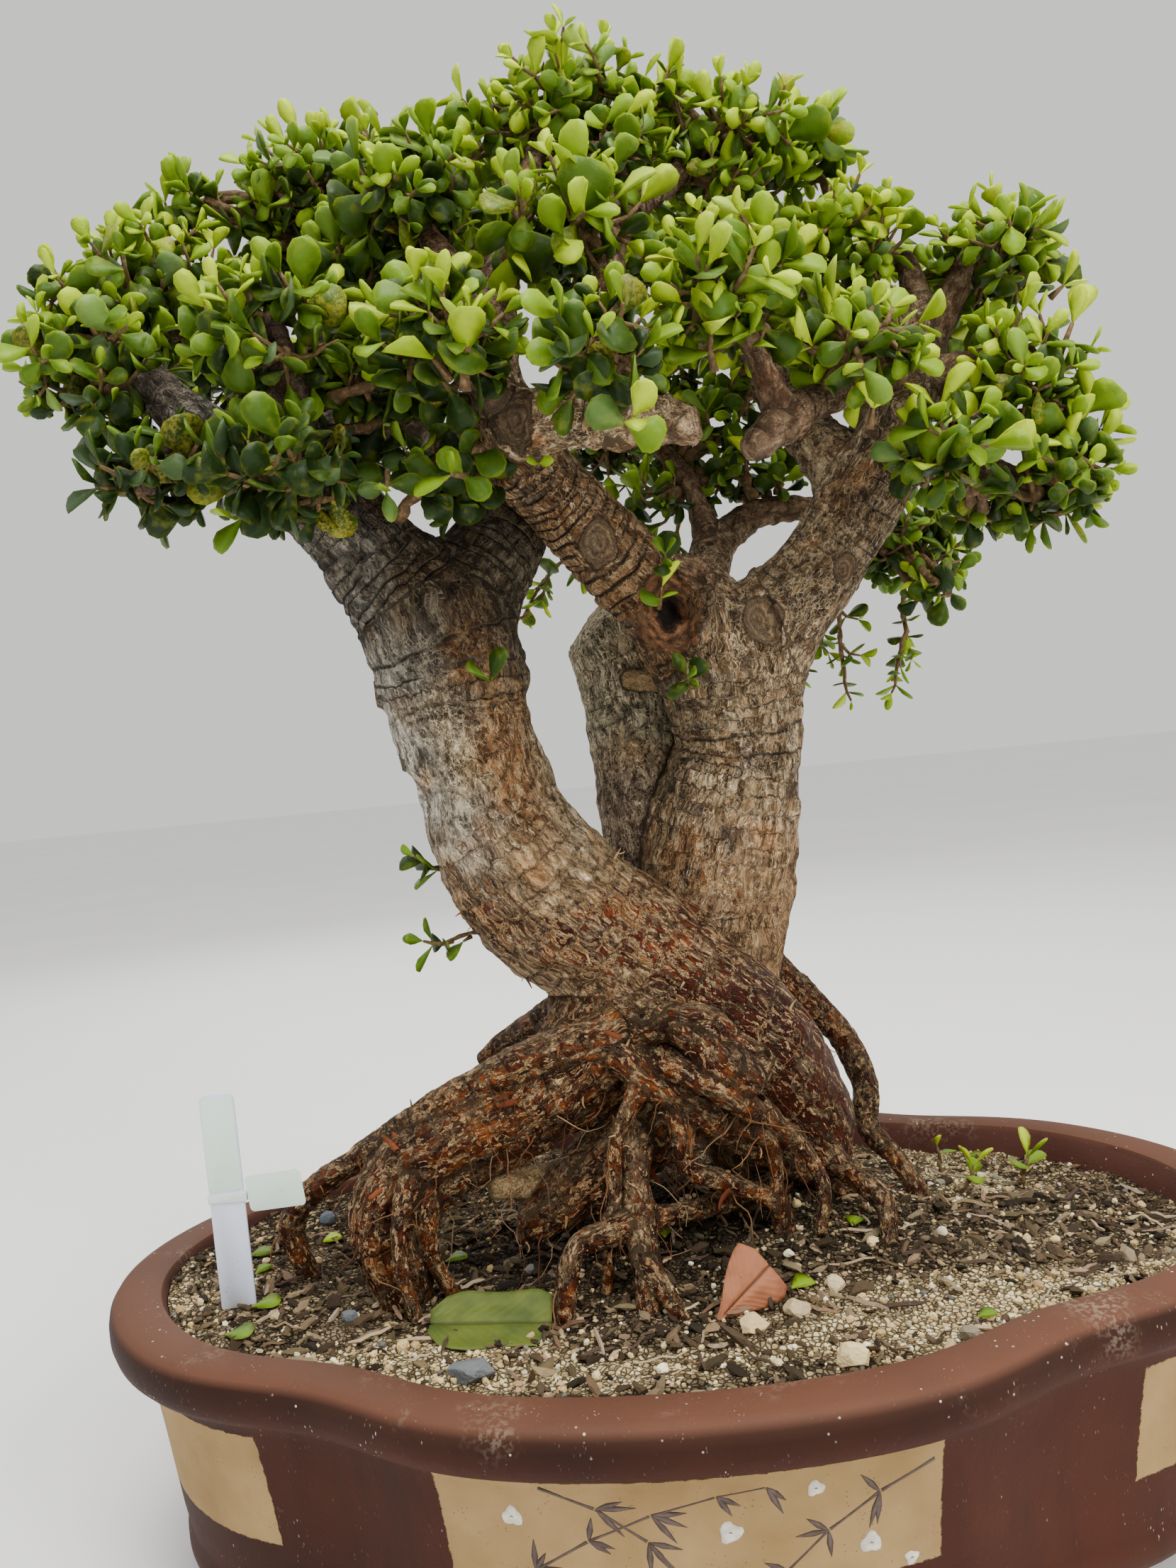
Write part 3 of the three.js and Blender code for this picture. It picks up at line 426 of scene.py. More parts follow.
class Paint:
    """One procedural material."""

    def __init__(self, name, **constants):
        self.material = bpy.data.materials.new(name)
        self.material.use_nodes = True
        self.tree = self.material.node_tree
        self.shader = self.tree.nodes["Principled BSDF"]
        for socket, value in constants.items():
            self.shader.inputs[socket.replace("_", " ")].default_value = value

    def node(self, kind, settings=None, links=None):
        node = self.tree.nodes.new(kind)
        for key, value in (settings or {}).items():
            if key == "stops":
                self._stops(node.color_ramp, value)
            else:
                setattr(node, key, value)
        for key, value in (links or {}).items():
            self._feed(node.inputs[key], value)
        return node

    def _feed(self, socket, value):
        """Links a field or another socket to the socket, or sets its own value."""
        if isinstance(value, Field):
            value = value.socket
        if isinstance(value, bpy.types.NodeSocket):
            self.tree.links.new(value, socket)
        else:
            socket.default_value = value

    @staticmethod
    def _stops(ramp, stops):
        while len(ramp.elements) < len(stops):
            ramp.elements.new(0.5)
        for element, (place, colour) in zip(ramp.elements, stops):
            element.position = place
            element.color = (*colour, 1.0)

    def place(self):
        return self.node("ShaderNodeTexCoord").outputs["Object"]

    def attribute(self, name, part="Fac"):
        socket = self.node("ShaderNodeAttribute", {"attribute_name": name}).outputs[part]
        return socket if part in ("Color", "Vector") else Field(self, socket)

    def uv(self):
        return self.node("ShaderNodeUVMap").outputs["UV"]

    def parts(self, vector):
        node = self.node("ShaderNodeSeparateXYZ", links={"Vector": vector})
        return [Field(self, socket) for socket in node.outputs]

    def stretch(self, vector, scale, shift=(0.0, 0.0, 0.0)):
        links = {"Vector": vector, "Scale": scale, "Location": shift}
        return self.node("ShaderNodeMapping", links=links).outputs[0]

    def noise(self, vector, scale, detail=3.0, roughness=0.55):
        links = {"Vector": vector, "Scale": scale, "Detail": detail, "Roughness": roughness}
        return Field(self, self.node("ShaderNodeTexNoise", links=links).outputs["Fac"])

    def cells(self, vector, scale, feature="F1", output="Distance"):
        node = self.node("ShaderNodeTexVoronoi", {"feature": feature}, {"Vector": vector, "Scale": scale})
        socket = node.outputs[output]
        return socket if output == "Color" else Field(self, socket)

    def ramp(self, value, stops):
        return self.node("ShaderNodeValToRGB", {"stops": stops}, {"Fac": value}).outputs["Color"]

    def mix(self, factor, first, second):
        first, second = (colour if isinstance(colour, bpy.types.NodeSocket) else (*colour, 1.0)
                         for colour in (first, second))
        links = {0: factor, 6: first, 7: second}
        return self.node("ShaderNodeMix", {"data_type": "RGBA"}, links).outputs[2]

    def shade(self, colour, value):
        """The colour darkened or lightened by `value`, with 1 as no change."""
        node = self.node("ShaderNodeVectorMath", {"operation": "SCALE"}, {0: colour, "Scale": value})
        return node.outputs[0]

    def bump(self, height, distance):
        return self.node("ShaderNodeBump", links={"Height": height, "Distance": distance}).outputs["Normal"]

    def finish(self, colour, roughness, normal=None, coat=None):
        wanted = {"Base Color": colour, "Roughness": roughness, "Normal": normal, "Coat Weight": coat}
        for name, value in wanted.items():
            if value is not None:
                self._feed(self.shader.inputs[name], value)
        return self.material


# ------------------------------------------------------------------ materials

def clay_paint():
    """Unglazed red-brown stoneware with tan slip windows, pale dust and mineral runs, with painted shade on
    its left end and the rim's outer face and painted light on the rim's top.
    """
    paint = Paint("fired_clay", Specular_IOR_Level=0.12)
    place = paint.place()
    round_pot, up, _ = paint.parts(paint.uv())
    cloud = paint.noise(place, 9.0, 4.0)
    fine = paint.noise(place, 160.0, 3.0)
    streak = paint.noise(paint.stretch(place, (60.0, 60.0, 5.0)), 1.0, 3.0)
    body = paint.ramp(cloud, [
        (0.3, (0.026, 0.0075, 0.0042)), (0.55, (0.046, 0.0125, 0.0064)), (0.75, (0.068, 0.0195, 0.0100))])
    body = paint.mix(streak.step(0.45, 0.75) * 0.45, body, (0.026, 0.0085, 0.0052))
    height = paint.parts(place)[2]
    rim = height.step(0.114, 0.130)
    # The rim's darker colour: partly the lip's own colour, partly painted shade on its outer face.
    rim_colour = paint.ramp(cloud, [(0.3, (0.015, 0.0058, 0.0034)), (0.7, (0.027, 0.0098, 0.0056))])
    body = paint.mix(rim * 0.85, body, rim_colour)
    inner_share = paint.attribute("inner_wall") * 0.85
    inner_colour = paint.ramp(cloud, [(0.3, (0.070, 0.027, 0.020)), (0.7, (0.135, 0.056, 0.044))])
    body = paint.mix(inner_share, body, inner_colour)
    # Painted shade: the pot's colour darkens towards its left end.
    body = paint.shade(body, paint.parts(place)[0].step(-0.25, -0.08) * 0.3 + 0.7)
    # Painted light: the rim is lightened where it faces up.
    painted_light_top_share = paint.attribute("rim_top") * 0.95
    painted_light_top_colour = paint.ramp(cloud, [(0.3, (0.088, 0.040, 0.024)), (0.7, (0.130, 0.054, 0.032))])
    body = paint.mix(painted_light_top_share, body, painted_light_top_colour)

    def within(value, limit):
        return value.step(limit + PANEL["blur"], limit - PANEL["blur"])

    ragged = (paint.noise(place, 240.0, 3.0) - 0.5) * 0.0024
    ragged = ragged + (paint.noise(place, 1200.0, 2.0) - 0.5) * 0.0012
    quarter = paint.attribute("quarter_round")
    front = (round_pot + ragged + PANEL["front_shift"]).size()
    back = quarter * 2.0 - (round_pot + ragged).size()
    front = within(front.least(back), PANEL["front"])
    end = within(((round_pot + ragged).size() - quarter).size(), PANEL["end"])
    up = up + ragged + end * PANEL["end_drop"]
    tall = up.step(PANEL["bottom"] - PANEL["blur"], PANEL["bottom"] + PANEL["blur"])
    tall = tall * within(up, PANEL["top"])
    window = front.most(end) * tall * paint.attribute("outer_wall")
    slip = paint.ramp(paint.noise(place, 26.0, 5.0), [
        (0.25, (0.24, 0.150, 0.060)), (0.6, (0.345, 0.225, 0.098)), (0.85, (0.42, 0.29, 0.14))])
    speck = paint.cells(place, 520.0).step(0.2, 0.1) * paint.noise(place, 90.0).step(0.5, 0.64)
    slip = paint.mix(speck * 0.75, slip, (0.06, 0.03, 0.018))
    colour = paint.mix(window, body, slip)
    run_place = paint.stretch(place, (1.0, 1.0, 0.32))
    run = paint.noise(paint.stretch(place, (95.0, 95.0, 2.2)), 1.0, 2.0).step(0.56, 0.68)
    dust = paint.cells(run_place, 620.0).step(0.2, 0.08) * paint.noise(place, 60.0).step(0.47, 0.6)
    dust = dust * (run * 0.9 + 0.1) * (1.0 - window * 0.8)
    colour = paint.mix(dust.least(1.0), colour, (0.55, 0.47, 0.38))
    lime = paint.cells(place, 190.0).step(0.13, 0.05) * rim * paint.noise(place, 45.0).step(0.5, 0.6)
    film = paint.noise(place, 22.0, 6.0).step(0.55, 0.75) * rim * paint.noise(place, 500.0).step(0.45, 0.6)
    colour = paint.mix(film * 0.35, colour, (0.42, 0.33, 0.24))
    colour = paint.mix(lime, colour, (0.66, 0.58, 0.46))
    colour = paint.mix(height.step(0.03, 0.0) * 0.35, colour, (0.12, 0.085, 0.065))
    roughness = 0.52 + 0.2 * cloud + 0.2 * window + 0.25 * dust
    relief = fine * 0.4 + window * 1.2 + paint.noise(place, 700.0) * 0.35 + streak * 0.3
    return paint.finish(colour, roughness, paint.bump(relief, 0.00045))


def bark_paint():
    """Old bark with pale threads and dark cracks, flaking off glossy red-brown skin towards the roots."""
    paint = Paint("old_bark", Specular_IOR_Level=0.14)
    place = paint.place()
    drift = paint.node("ShaderNodeTexNoise", links={"Vector": place, "Scale": 85.0, "Detail": 3.0})
    drift = drift.outputs["Color"]
    drift = paint.node("ShaderNodeVectorMath", {"operation": "MULTIPLY_ADD"},
                       {0: drift, 1: (0.007, 0.007, 0.012), 2: paint.attribute("grain", "Vector")}).outputs[0]
    masks = {name: paint.attribute(name) for name in (
        "root", "caudex", "glossy", "presence", "moss", "purple", "warm", "cool", "young", "dead", "plates",
        "seam")}
    peels = masks["root"].most(masks["caudex"])
    cloud = paint.noise(place, 17.0, 5.0, 0.6)
    patch = paint.noise(place, 52.0, 5.0, 0.65)
    scale = paint.noise(paint.stretch(drift, (190.0, 190.0, 115.0), (7.0, 1.0, 4.0)), 1.0, 6.0, 0.7)
    fibre = paint.noise(paint.stretch(drift, (440.0, 440.0, 230.0)), 1.0, 4.0, 0.66)
    crack_field = paint.noise(paint.stretch(drift, (300.0, 300.0, 95.0), (3.0, 5.0, 1.0)), 1.0, 5.0, 0.66)
    flake = paint.noise(paint.stretch(drift, (290.0, 290.0, 150.0)), 1.0, 8.0, 0.70)
    net = paint.cells(paint.stretch(drift, (430.0, 430.0, 330.0)), 1.0, "DISTANCE_TO_EDGE")
    spots = paint.noise(place, 130.0, 3.0)
    thread = net.step(0.105, 0.02) * (spots.step(0.36, 0.56) * 0.85 + 0.15)
    thread = thread.most(fibre.line(0.5, 0.05) * spots.step(0.6, 0.42))
    crack = crack_field.line(0.47, 0.030) * patch.step(0.48, 0.60)

    # The dead crust, tinted grey, orange, wine or green in places.
    shade = cloud * 0.45 + patch * 0.50 + scale * 0.90 - 0.425
    crust = paint.ramp(shade, [
        (0.35, (0.034, 0.021, 0.011)), (0.45, (0.115, 0.076, 0.036)), (0.55, (0.275, 0.194, 0.098)),
        (0.65, (0.66, 0.52, 0.325)), (0.70, (0.86, 0.71, 0.48))])
    tints = {
        "cool": [(0.35, (0.052, 0.046, 0.038)), (0.49, (0.165, 0.150, 0.128)), (0.64, (0.50, 0.475, 0.420))],
        "warm": [(0.35, (0.085, 0.032, 0.011)), (0.49, (0.230, 0.098, 0.034)), (0.64, (0.50, 0.275, 0.115))],
        "purple": [(0.36, (0.034, 0.017, 0.012)), (0.50, (0.085, 0.048, 0.034)),
                   (0.64, (0.23, 0.165, 0.120))],
        "moss": [(0.35, (0.032, 0.032, 0.020)), (0.50, (0.095, 0.094, 0.060)), (0.65, (0.29, 0.270, 0.180))],
    }
    for mask, stops in tints.items():
        crust = paint.mix(masks[mask], crust, paint.ramp(shade, stops))
    crust = paint.mix(masks["plates"] * crack_field.step(0.50, 0.56) * 0.8, crust, (0.40, 0.33, 0.22))
    # Painted light and shade, with some of the bark's own tone, scale the crust and its pale threads.
    crust = paint.shade(crust, (fibre.step(0.38, 0.62) * 0.90 + 0.52) * paint.attribute("lightness"))
    pale = paint.mix(masks["warm"] * 0.6, (0.82, 0.69, 0.47), (0.76, 0.51, 0.25))
    pale = paint.shade(pale, paint.attribute("lightness"))
    crust = paint.mix(thread * (scale.step(0.40, 0.58) * 0.6 + 0.2), crust, pale)
    crust = paint.mix(crack * 0.85, crust, (0.020, 0.012, 0.008))
    young = paint.ramp(shade, [(0.42, (0.060, 0.029, 0.018)), (0.6, (0.17, 0.098, 0.056))])
    crust = paint.mix(masks["young"] * 0.65, crust, young)

    # Where the crust is off, on roots and the swollen base, and the skin that shows there.
    level = 0.28 + masks["caudex"] * 0.225 + masks["root"] * 0.258 + masks["glossy"] * 0.040
    level = level + (patch - 0.5) * 0.40
    off = flake - level
    bared = off.step(0.010, -0.010) * peels
    # Painted highlight: a pale line along each flake's curled edge, where the curl would catch the light.
    curl = (off - 0.004).size().step(0.014, 0.003) * peels * spots.step(0.40, 0.55)
    shadow = off.step(-0.055, -0.012) * bared
    skin = paint.ramp(shade, [
        (0.36, (0.018, 0.0028, 0.0010)), (0.50, (0.084, 0.0140, 0.0036)), (0.64, (0.215, 0.048, 0.0090))])
    glossy_skin = paint.ramp(cloud, [(0.40, (0.032, 0.0054, 0.0022)), (0.60, (0.082, 0.0160, 0.0050))])
    skin = paint.mix(masks["glossy"] * 0.8, skin, glossy_skin)
    root_skin = paint.ramp(shade, [
        (0.34, (0.008, 0.0015, 0.0005)), (0.45, (0.040, 0.0082, 0.0017)), (0.55, (0.115, 0.0270, 0.0050)),
        (0.67, (0.29, 0.090, 0.018))])
    skin = paint.mix(masks["root"] * 0.9, skin, root_skin)
    skin = paint.shade(skin, 1.0 - shadow * 0.7)
    rusty = paint.ramp(off * 0.8 + (fibre - 0.5) * 0.6 + (scale - 0.5) * 0.5, [
        (0.0, (0.032, 0.0115, 0.0036)), (0.08, (0.108, 0.052, 0.018)), (0.20, (0.48, 0.33, 0.170))])
    peel = paint.noise(paint.stretch(drift, (470.0, 470.0, 215.0), (5.0, 2.0, 8.0)), 1.0, 5.0, 0.62)
    lifted = peel + (patch - 0.5) * 0.42 - masks["root"] * 0.030 - masks["glossy"] * 0.050 - 0.542
    fleck = lifted.step(0.0, 0.010) * peels
    flecks = paint.ramp(lifted, [
        (0.006, (0.96, 0.76, 0.48)), (0.028, (0.60, 0.385, 0.175)), (0.070, (0.22, 0.100, 0.033))])
    crust = paint.mix(masks["root"], crust, rusty)
    crust = paint.mix(masks["caudex"] * (1.0 - masks["root"]) * 0.75, crust, rusty)
    colour = paint.mix(bared, crust, skin)
    colour = paint.mix(fleck * 0.92, colour, flecks)
    # The painted highlight on the curled flake edges.
    colour = paint.mix(curl * 0.75, colour, (0.82, 0.63, 0.38))
    bleached = paint.mix(thread * 0.5 + fibre.step(0.4, 0.6) * 0.4, (0.24, 0.150, 0.070), (0.52, 0.37, 0.19))
    colour = paint.mix(masks["dead"], colour, bleached)

    # Painted shade in the crevices between limbs, and the creases across them.
    colour = paint.shade(colour, 1.0 - masks["seam"] * 0.72)
    turn = paint.attribute("crease").fraction() - 0.5
    valley = 0.5 - turn.size() + (patch - 0.5) * 0.02
    # Painted shade darkens the valley of each crease, and a painted highlight lightens the crest beside it.
    crease = valley.step(0.13, 0.03) * masks["presence"]
    crest_highlight = turn.step(-0.36, -0.44) * turn.step(-0.5, -0.44) * masks["presence"]
    colour = paint.mix(crest_highlight * 0.5, colour, (0.42, 0.355, 0.26))
    colour = paint.mix(crease * 0.9, colour, (0.020, 0.013, 0.009))

    # Healed saw cuts with growth rings, and the hollow knot.
    mark_x, mark_y, kind = paint.parts(paint.attribute("mark", "Vector"))
    far = (mark_x * mark_x + mark_y * mark_y) ** 0.5 + (paint.noise(place, 130.0, 4.0) - 0.5) * 0.8
    rings = (far * 19.0).sine() * 0.5 + 0.5
    is_scar = kind.step(1.7, 1.3) * kind.step(0.3, 0.7)
    scar = far.step(0.92, 0.86) * is_scar
    knot = far.step(1.25, 1.0) * kind.step(1.4, 1.9)
    healed = paint.mix(rings * 0.75, (0.250, 0.170, 0.095), (0.070, 0.040, 0.023))
    healed = paint.mix((mark_x + (patch - 0.5) * 0.8).step(0.25, 0.05) * 0.5, healed, (0.120, 0.085, 0.055))
    swirl = paint.mix(rings, (0.260, 0.115, 0.050), (0.045, 0.022, 0.014))
    colour = paint.mix(scar, colour, healed)
    colour = paint.mix(far.line(0.92, 0.11) * is_scar * 0.8, colour, (0.030, 0.018, 0.012))
    colour = paint.mix(knot * 0.75, colour, swirl)
    colour = paint.mix(far.step(0.50, 0.28) * kind.step(1.4, 1.9), colour, (0.010, 0.006, 0.005))

    valley_depth = valley.step(0.0, 0.16) * masks["presence"]
    relief = thread * 0.5 + fibre * 0.8 - crack * 0.9 + (1.0 - bared) * peels * 0.9 + curl * 0.5
    relief = relief + fleck * 0.6 + valley_depth * 3.0 + rings * scar * 0.4
    roughness = 0.90 - 0.50 * bared * (1.0 - fleck) + 0.05 * patch
    return paint.finish(colour, roughness, paint.bump(relief, 0.0015))


def leaf_paint():
    """Waxy succulent leaves, each with its own tone that also carries painted light and shade, paler at the
    rim (partly a painted highlight) and round the middle.
    """
    paint = Paint("jade_leaf", Specular_IOR_Level=0.14, Subsurface_Weight=0.06, Subsurface_Scale=0.003)
    paint.shader.inputs["Subsurface Radius"].default_value = (0.7, 1.0, 0.15)
    place = paint.place()
    tone = paint.attribute("tone")
    edge = paint.attribute("edge")
    blotch = paint.noise(place, 150.0, 4.0)
    green = paint.ramp(tone, [
        (0.0, (0.012, 0.028, 0.005)), (0.20, (0.033, 0.070, 0.008)), (0.42, (0.080, 0.158, 0.010)),
        (0.66, (0.205, 0.335, 0.009)), (1.0, (0.500, 0.640, 0.020))])
    # A paler rim: partly the leaf's own paler edge, partly a painted highlight along its edge, stronger on
    # brighter leaves.
    colour = paint.mix(edge.step(0.6, 1.0) * (tone * 0.45 + 0.06), green, (0.36, 0.47, 0.012))
    colour = paint.mix(blotch.step(0.50, 0.74) * 0.20, colour, (0.40, 0.42, 0.015))
    speckle = paint.noise(place, 620.0, 3.0, 0.7)
    blush = paint.attribute("blush") * (blotch * 0.5 + speckle * 0.5).step(0.40, 0.56)
    blushed = paint.mix(speckle.step(0.4, 0.6), (0.21, 0.16, 0.018), (0.40, 0.35, 0.035))
    colour = paint.mix(blush * 0.6, colour, blushed)
    colour = paint.mix(paint.attribute("waxy") * 0.4, colour, (0.120, 0.200, 0.085))
    colour = paint.mix(paint.attribute("stalk") * 0.5, colour, (0.36, 0.30, 0.05))
    pits = paint.cells(place, 1300.0).step(0.0, 0.5)
    normal = paint.bump(paint.noise(place, 420.0, 2.0) + pits * 0.25, 0.00022)
    return paint.finish(colour, 0.34 + 0.2 * blotch, normal)


def twig_paint():
    """Brown bark of the young twigs, greener on the thinnest."""
    paint = Paint("young_twig", Specular_IOR_Level=0.3)
    place = paint.place()
    fleck = paint.noise(place, 380.0, 4.0)
    colour = paint.ramp(fleck, [
        (0.32, (0.045, 0.019, 0.011)), (0.52, (0.120, 0.056, 0.030)), (0.70, (0.29, 0.175, 0.10))])
    colour = paint.mix(paint.attribute("fresh") * 0.35, colour, (0.17, 0.13, 0.035))
    return paint.finish(colour, 0.78, paint.bump(fleck, 0.0009))


def soil_paint():
    """Potting mix: pale grit in front and at the rim, brown bark crumbs elsewhere."""
    paint = Paint("potting_mix", Specular_IOR_Level=0.1)
    place = paint.place()
    grit = paint.attribute("grit")
    grain_value = paint.parts(paint.cells(place, 430.0, output="Color"))[0]
    # Painted shade: the grains' colour darkens towards the gaps between them.
    gap = paint.cells(place, 430.0, "DISTANCE_TO_EDGE").step(0.0, 0.16)
    pale = paint.ramp(grain_value, [
        (0.0, (0.12, 0.080, 0.042)), (0.25, (0.36, 0.26, 0.130)), (0.6, (0.58, 0.45, 0.235)),
        (1.0, (0.80, 0.68, 0.43))])
    dark = paint.ramp(grain_value, [
        (0.0, (0.022, 0.015, 0.009)), (0.40, (0.070, 0.048, 0.027)), (0.72, (0.165, 0.118, 0.066)),
        (1.0, (0.50, 0.38, 0.20))])
    dusty = paint.noise(place, 34.0, 5.0, 0.6).step(0.46, 0.66)
    dark = paint.mix(dusty * 0.55, dark, (0.30, 0.225, 0.135))
    border = (grit + (paint.noise(place, 70.0, 4.0) - 0.5) * 0.9).step(0.36, 0.62)
    colour = paint.mix(border, dark, pale)
    # Painted shadow darkens the soil under the roots.
    colour = paint.shade(colour, (gap * 0.65 + 0.35) * (1.0 - paint.attribute("damp") * 0.72))
    relief = gap * 1.1 + paint.noise(place, 900.0) * 0.4 + grain_value * 0.6
    return paint.finish(colour, 0.95, paint.bump(relief, 0.0018))


def crumb_paint():
    """Loose crumbs, flakes and rootlets, coloured one by one."""
    paint = Paint("loose_crumb", Specular_IOR_Level=0.12)
    speckle = paint.noise(paint.place(), 900.0, 3.0)
    colour = paint.shade(paint.attribute("tint", "Color"), 0.85 + 0.6 * speckle)
    return paint.finish(colour, 0.88, paint.bump(speckle, 0.0006))


def plastic_paint(name, colour, roughness, dirt):
    """Scuffed plastic or coated paper; `dirt` is the share of soil splashed on its foot."""
    paint = Paint(name, Specular_IOR_Level=0.5)
    place = paint.place()
    scuff = paint.noise(paint.stretch(place, (60.0, 60.0, 14.0)), 1.0, 4.0)
    height = paint.parts(place)[2]
    tint = paint.mix(scuff.step(0.5, 0.8) * 0.18, colour, tuple(0.8 * part for part in colour))
    speck = paint.cells(place, 260.0).step(0.16, 0.08) * paint.noise(place, 120.0).step(0.52, 0.6)
    tint = paint.mix(speck * height.step(0.165, 0.145) * dirt, tint, (0.05, 0.04, 0.03))
    tint = paint.mix(height.step(0.142, 0.128) * scuff.step(0.35, 0.6) * dirt, tint, (0.34, 0.27, 0.18))
    return paint.finish(tint, roughness + 0.2 * scuff, paint.bump(scuff, 0.0003))


def tape_paint():
    """Clear tape: pale, faintly cloudy and glossy."""
    paint = Paint("clear_tape", Specular_IOR_Level=0.55, Coat_Roughness=0.12)
    cloud = paint.noise(paint.stretch(paint.place(), (90.0, 90.0, 400.0)), 1.0, 3.0)
    tint = paint.ramp(cloud, [(0.3, (0.62, 0.69, 0.66)), (0.7, (0.76, 0.81, 0.80))])
    return paint.finish(tint, 0.16 + 0.25 * cloud, paint.bump(cloud, 0.0002), coat=0.4 + 0.4 * cloud)


def broad_leaf_paint(name, light, deep, vein):
    """A broad leaf off another plant, with a midrib and side veins."""
    paint = Paint(name, Specular_IOR_Level=0.35)
    place = paint.place()
    across = paint.attribute("across").size()
    along = paint.attribute("along")
    blotch = paint.noise(place, 70.0, 5.0)
    colour = paint.mix(blotch.step(0.35, 0.7), light, deep)
    fan = {"X": along - across * 0.35, "Y": across * 0.1}
    fan = paint.node("ShaderNodeCombineXYZ", links=fan).outputs[0]
    wave = paint.node("ShaderNodeTexWave", {"wave_type": "BANDS", "bands_direction": "X"},
                      {"Vector": fan, "Scale": 3.1, "Distortion": 2.2, "Detail": 2.0})
    ribs = Field(paint, wave.outputs["Fac"])
    colour = paint.mix(ribs.step(0.90, 1.0) * 0.05, colour, vein)
    mottle = paint.noise(place, 300.0, 4.0).step(0.45, 0.7) * 0.25
    colour = paint.mix(mottle, colour, tuple(0.7 * part for part in light))
    colour = paint.mix(across.step(0.045, 0.02) * 0.85, colour, vein)
    spots = paint.cells(place, 240.0).step(0.16, 0.07) * paint.noise(place, 80.0).step(0.5, 0.6)
    colour = paint.mix(spots * 0.6, colour, tuple(0.4 * part for part in deep))
    relief = ribs * 0.12 - across.step(0.09, 0.0) * 0.8 + blotch * 0.4
    return paint.finish(colour, 0.5 + 0.25 * blotch, paint.bump(relief, 0.0008))


def painted_paint(name, colour, roughness):
    """Ink or glaze that the brush left a little uneven."""
    paint = Paint(name, Specular_IOR_Level=0.5)
    wash = paint.noise(paint.place(), 240.0, 4.0)
    tint = paint.mix(wash.step(0.35, 0.75), colour, tuple(1.5 * part + 0.02 for part in colour))
    return paint.finish(tint, roughness + 0.1 * wash, paint.bump(wash, 0.0003))


def screen_paint():
    """Dark worn plastic of the drain screens."""
    paint = Paint("screen_plastic", Specular_IOR_Level=0.4)
    wear = paint.noise(paint.place(), 300.0, 3.0)
    colour = paint.ramp(wear, [(0.3, (0.012, 0.014, 0.015)), (0.7, (0.035, 0.038, 0.04))])
    return paint.finish(colour, 0.6, paint.bump(wear, 0.0003))


# ------------------------------------------------------------------ meshes

def mesh_piece(name, points, faces):
    """A new object in the scene from points and faces."""
    mesh = bpy.data.meshes.new(name)
    mesh.from_pydata([tuple(point) for point in points], [], [tuple(int(i) for i in face) for face in faces])
    mesh.update()
    piece = bpy.data.objects.new(name, mesh)
    bpy.context.scene.collection.objects.link(piece)
    return piece


def only(piece):
    """Selects the piece and nothing else."""
    bpy.ops.object.select_all(action="DESELECT")
    bpy.context.view_layer.objects.active = piece
    piece.select_set(True)


def settle(piece, material, replaced=(), smooth=True):
    """Gives a finished piece its place, material, body and slot, and hides the CAD nodes it stands for."""
    only(piece)
    bpy.ops.object.transform_apply(location=True, rotation=True, scale=True)
    if smooth:
        bpy.ops.object.shade_smooth()
    piece.data.materials.clear()
    piece.data.materials.append(material)
    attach(piece, "root")
    if replaced:
        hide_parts(*replaced)
    return piece


def put_attribute(piece, name, values):
    """Stores one number or one vector for each point of the piece."""
    values = np.asarray(values, np.float32)
    kind = "FLOAT" if values.ndim == 1 else "FLOAT_VECTOR"
    attribute = piece.data.attributes.new(name, kind, "POINT")
    attribute.data.foreach_set("value" if values.ndim == 1 else "vector", values.ravel())


def points_of(piece):
    points = np.empty(len(piece.data.vertices) * 3, np.float32)
    piece.data.vertices.foreach_get("co", points)
    return points.reshape(-1, 3).astype(float)


def faces_of(piece):
    return [tuple(polygon.vertices) for polygon in piece.data.polygons]


def set_points(piece, points):
    piece.data.vertices.foreach_set("co", np.asarray(points, np.float32).ravel())
    piece.data.update()


def unit(vectors):
    length = np.linalg.norm(vectors, axis=-1, keepdims=True)
    return vectors / np.maximum(length, 1e-12)


def held(values):
    """The values kept between 0 and 1."""
    return np.clip(values, 0.0, 1.0)


def any_direction(rng):
    return Vector((rng.gauss(0, 1), rng.gauss(0, 1), rng.gauss(0, 1)))


def smooth_below(piece, degrees):
    """Smooth shading across edges that turn less than so many degrees."""
    only(piece)
    bpy.ops.object.shade_smooth_by_angle(angle=math.radians(degrees))


def lumps(points, size, seed=0.0, octaves=3):
    """Fractal noise at each point, about -1 to 1, with lumps of `size` metres."""
    shift = Vector((seed, 2.0 * seed + 5.0, -seed))
    return np.array([noise.fractal(Vector(point) / size + shift, 1.0, 2.0, octaves) for point in points])


def primitive(add, **settings):
    """A new primitive, alone in the selection."""
    bpy.ops.object.select_all(action="DESELECT")
    add(**settings)
    return bpy.context.object


def apply_modifier(piece, name, kind, **settings):
    only(piece)
    modifier = piece.modifiers.new(name, kind)
    for key, value in settings.items():
        setattr(modifier, key, value)
    bpy.ops.object.modifier_apply(modifier=name)


class Heap:
    """Many small copies of one shape, gathered into a single mesh."""

    def __init__(self):
        self.points = []
        self.faces = []
        self.values = {}
        self.count = 0

    def add(self, points, faces, **values):
        self.points.append(points)
        self.faces.append(np.asarray(faces) + self.count)
        for name, value in values.items():
            value = np.asarray(value, float)
            if value.ndim == 0 or (value.ndim == 1 and len(value) == 3 and len(points) != 3):
                value = np.broadcast_to(value, (len(points), *value.shape))
            self.values.setdefault(name, []).append(value)
        self.count += len(points)

    def piece(self, name):
        faces = [tuple(face) for block in self.faces for face in block]
        made = mesh_piece(name, np.concatenate(self.points), faces)
        for key, blocks in self.values.items():
            put_attribute(made, key, np.concatenate(blocks))
        return made


# ------------------------------------------------------------------ camera and light

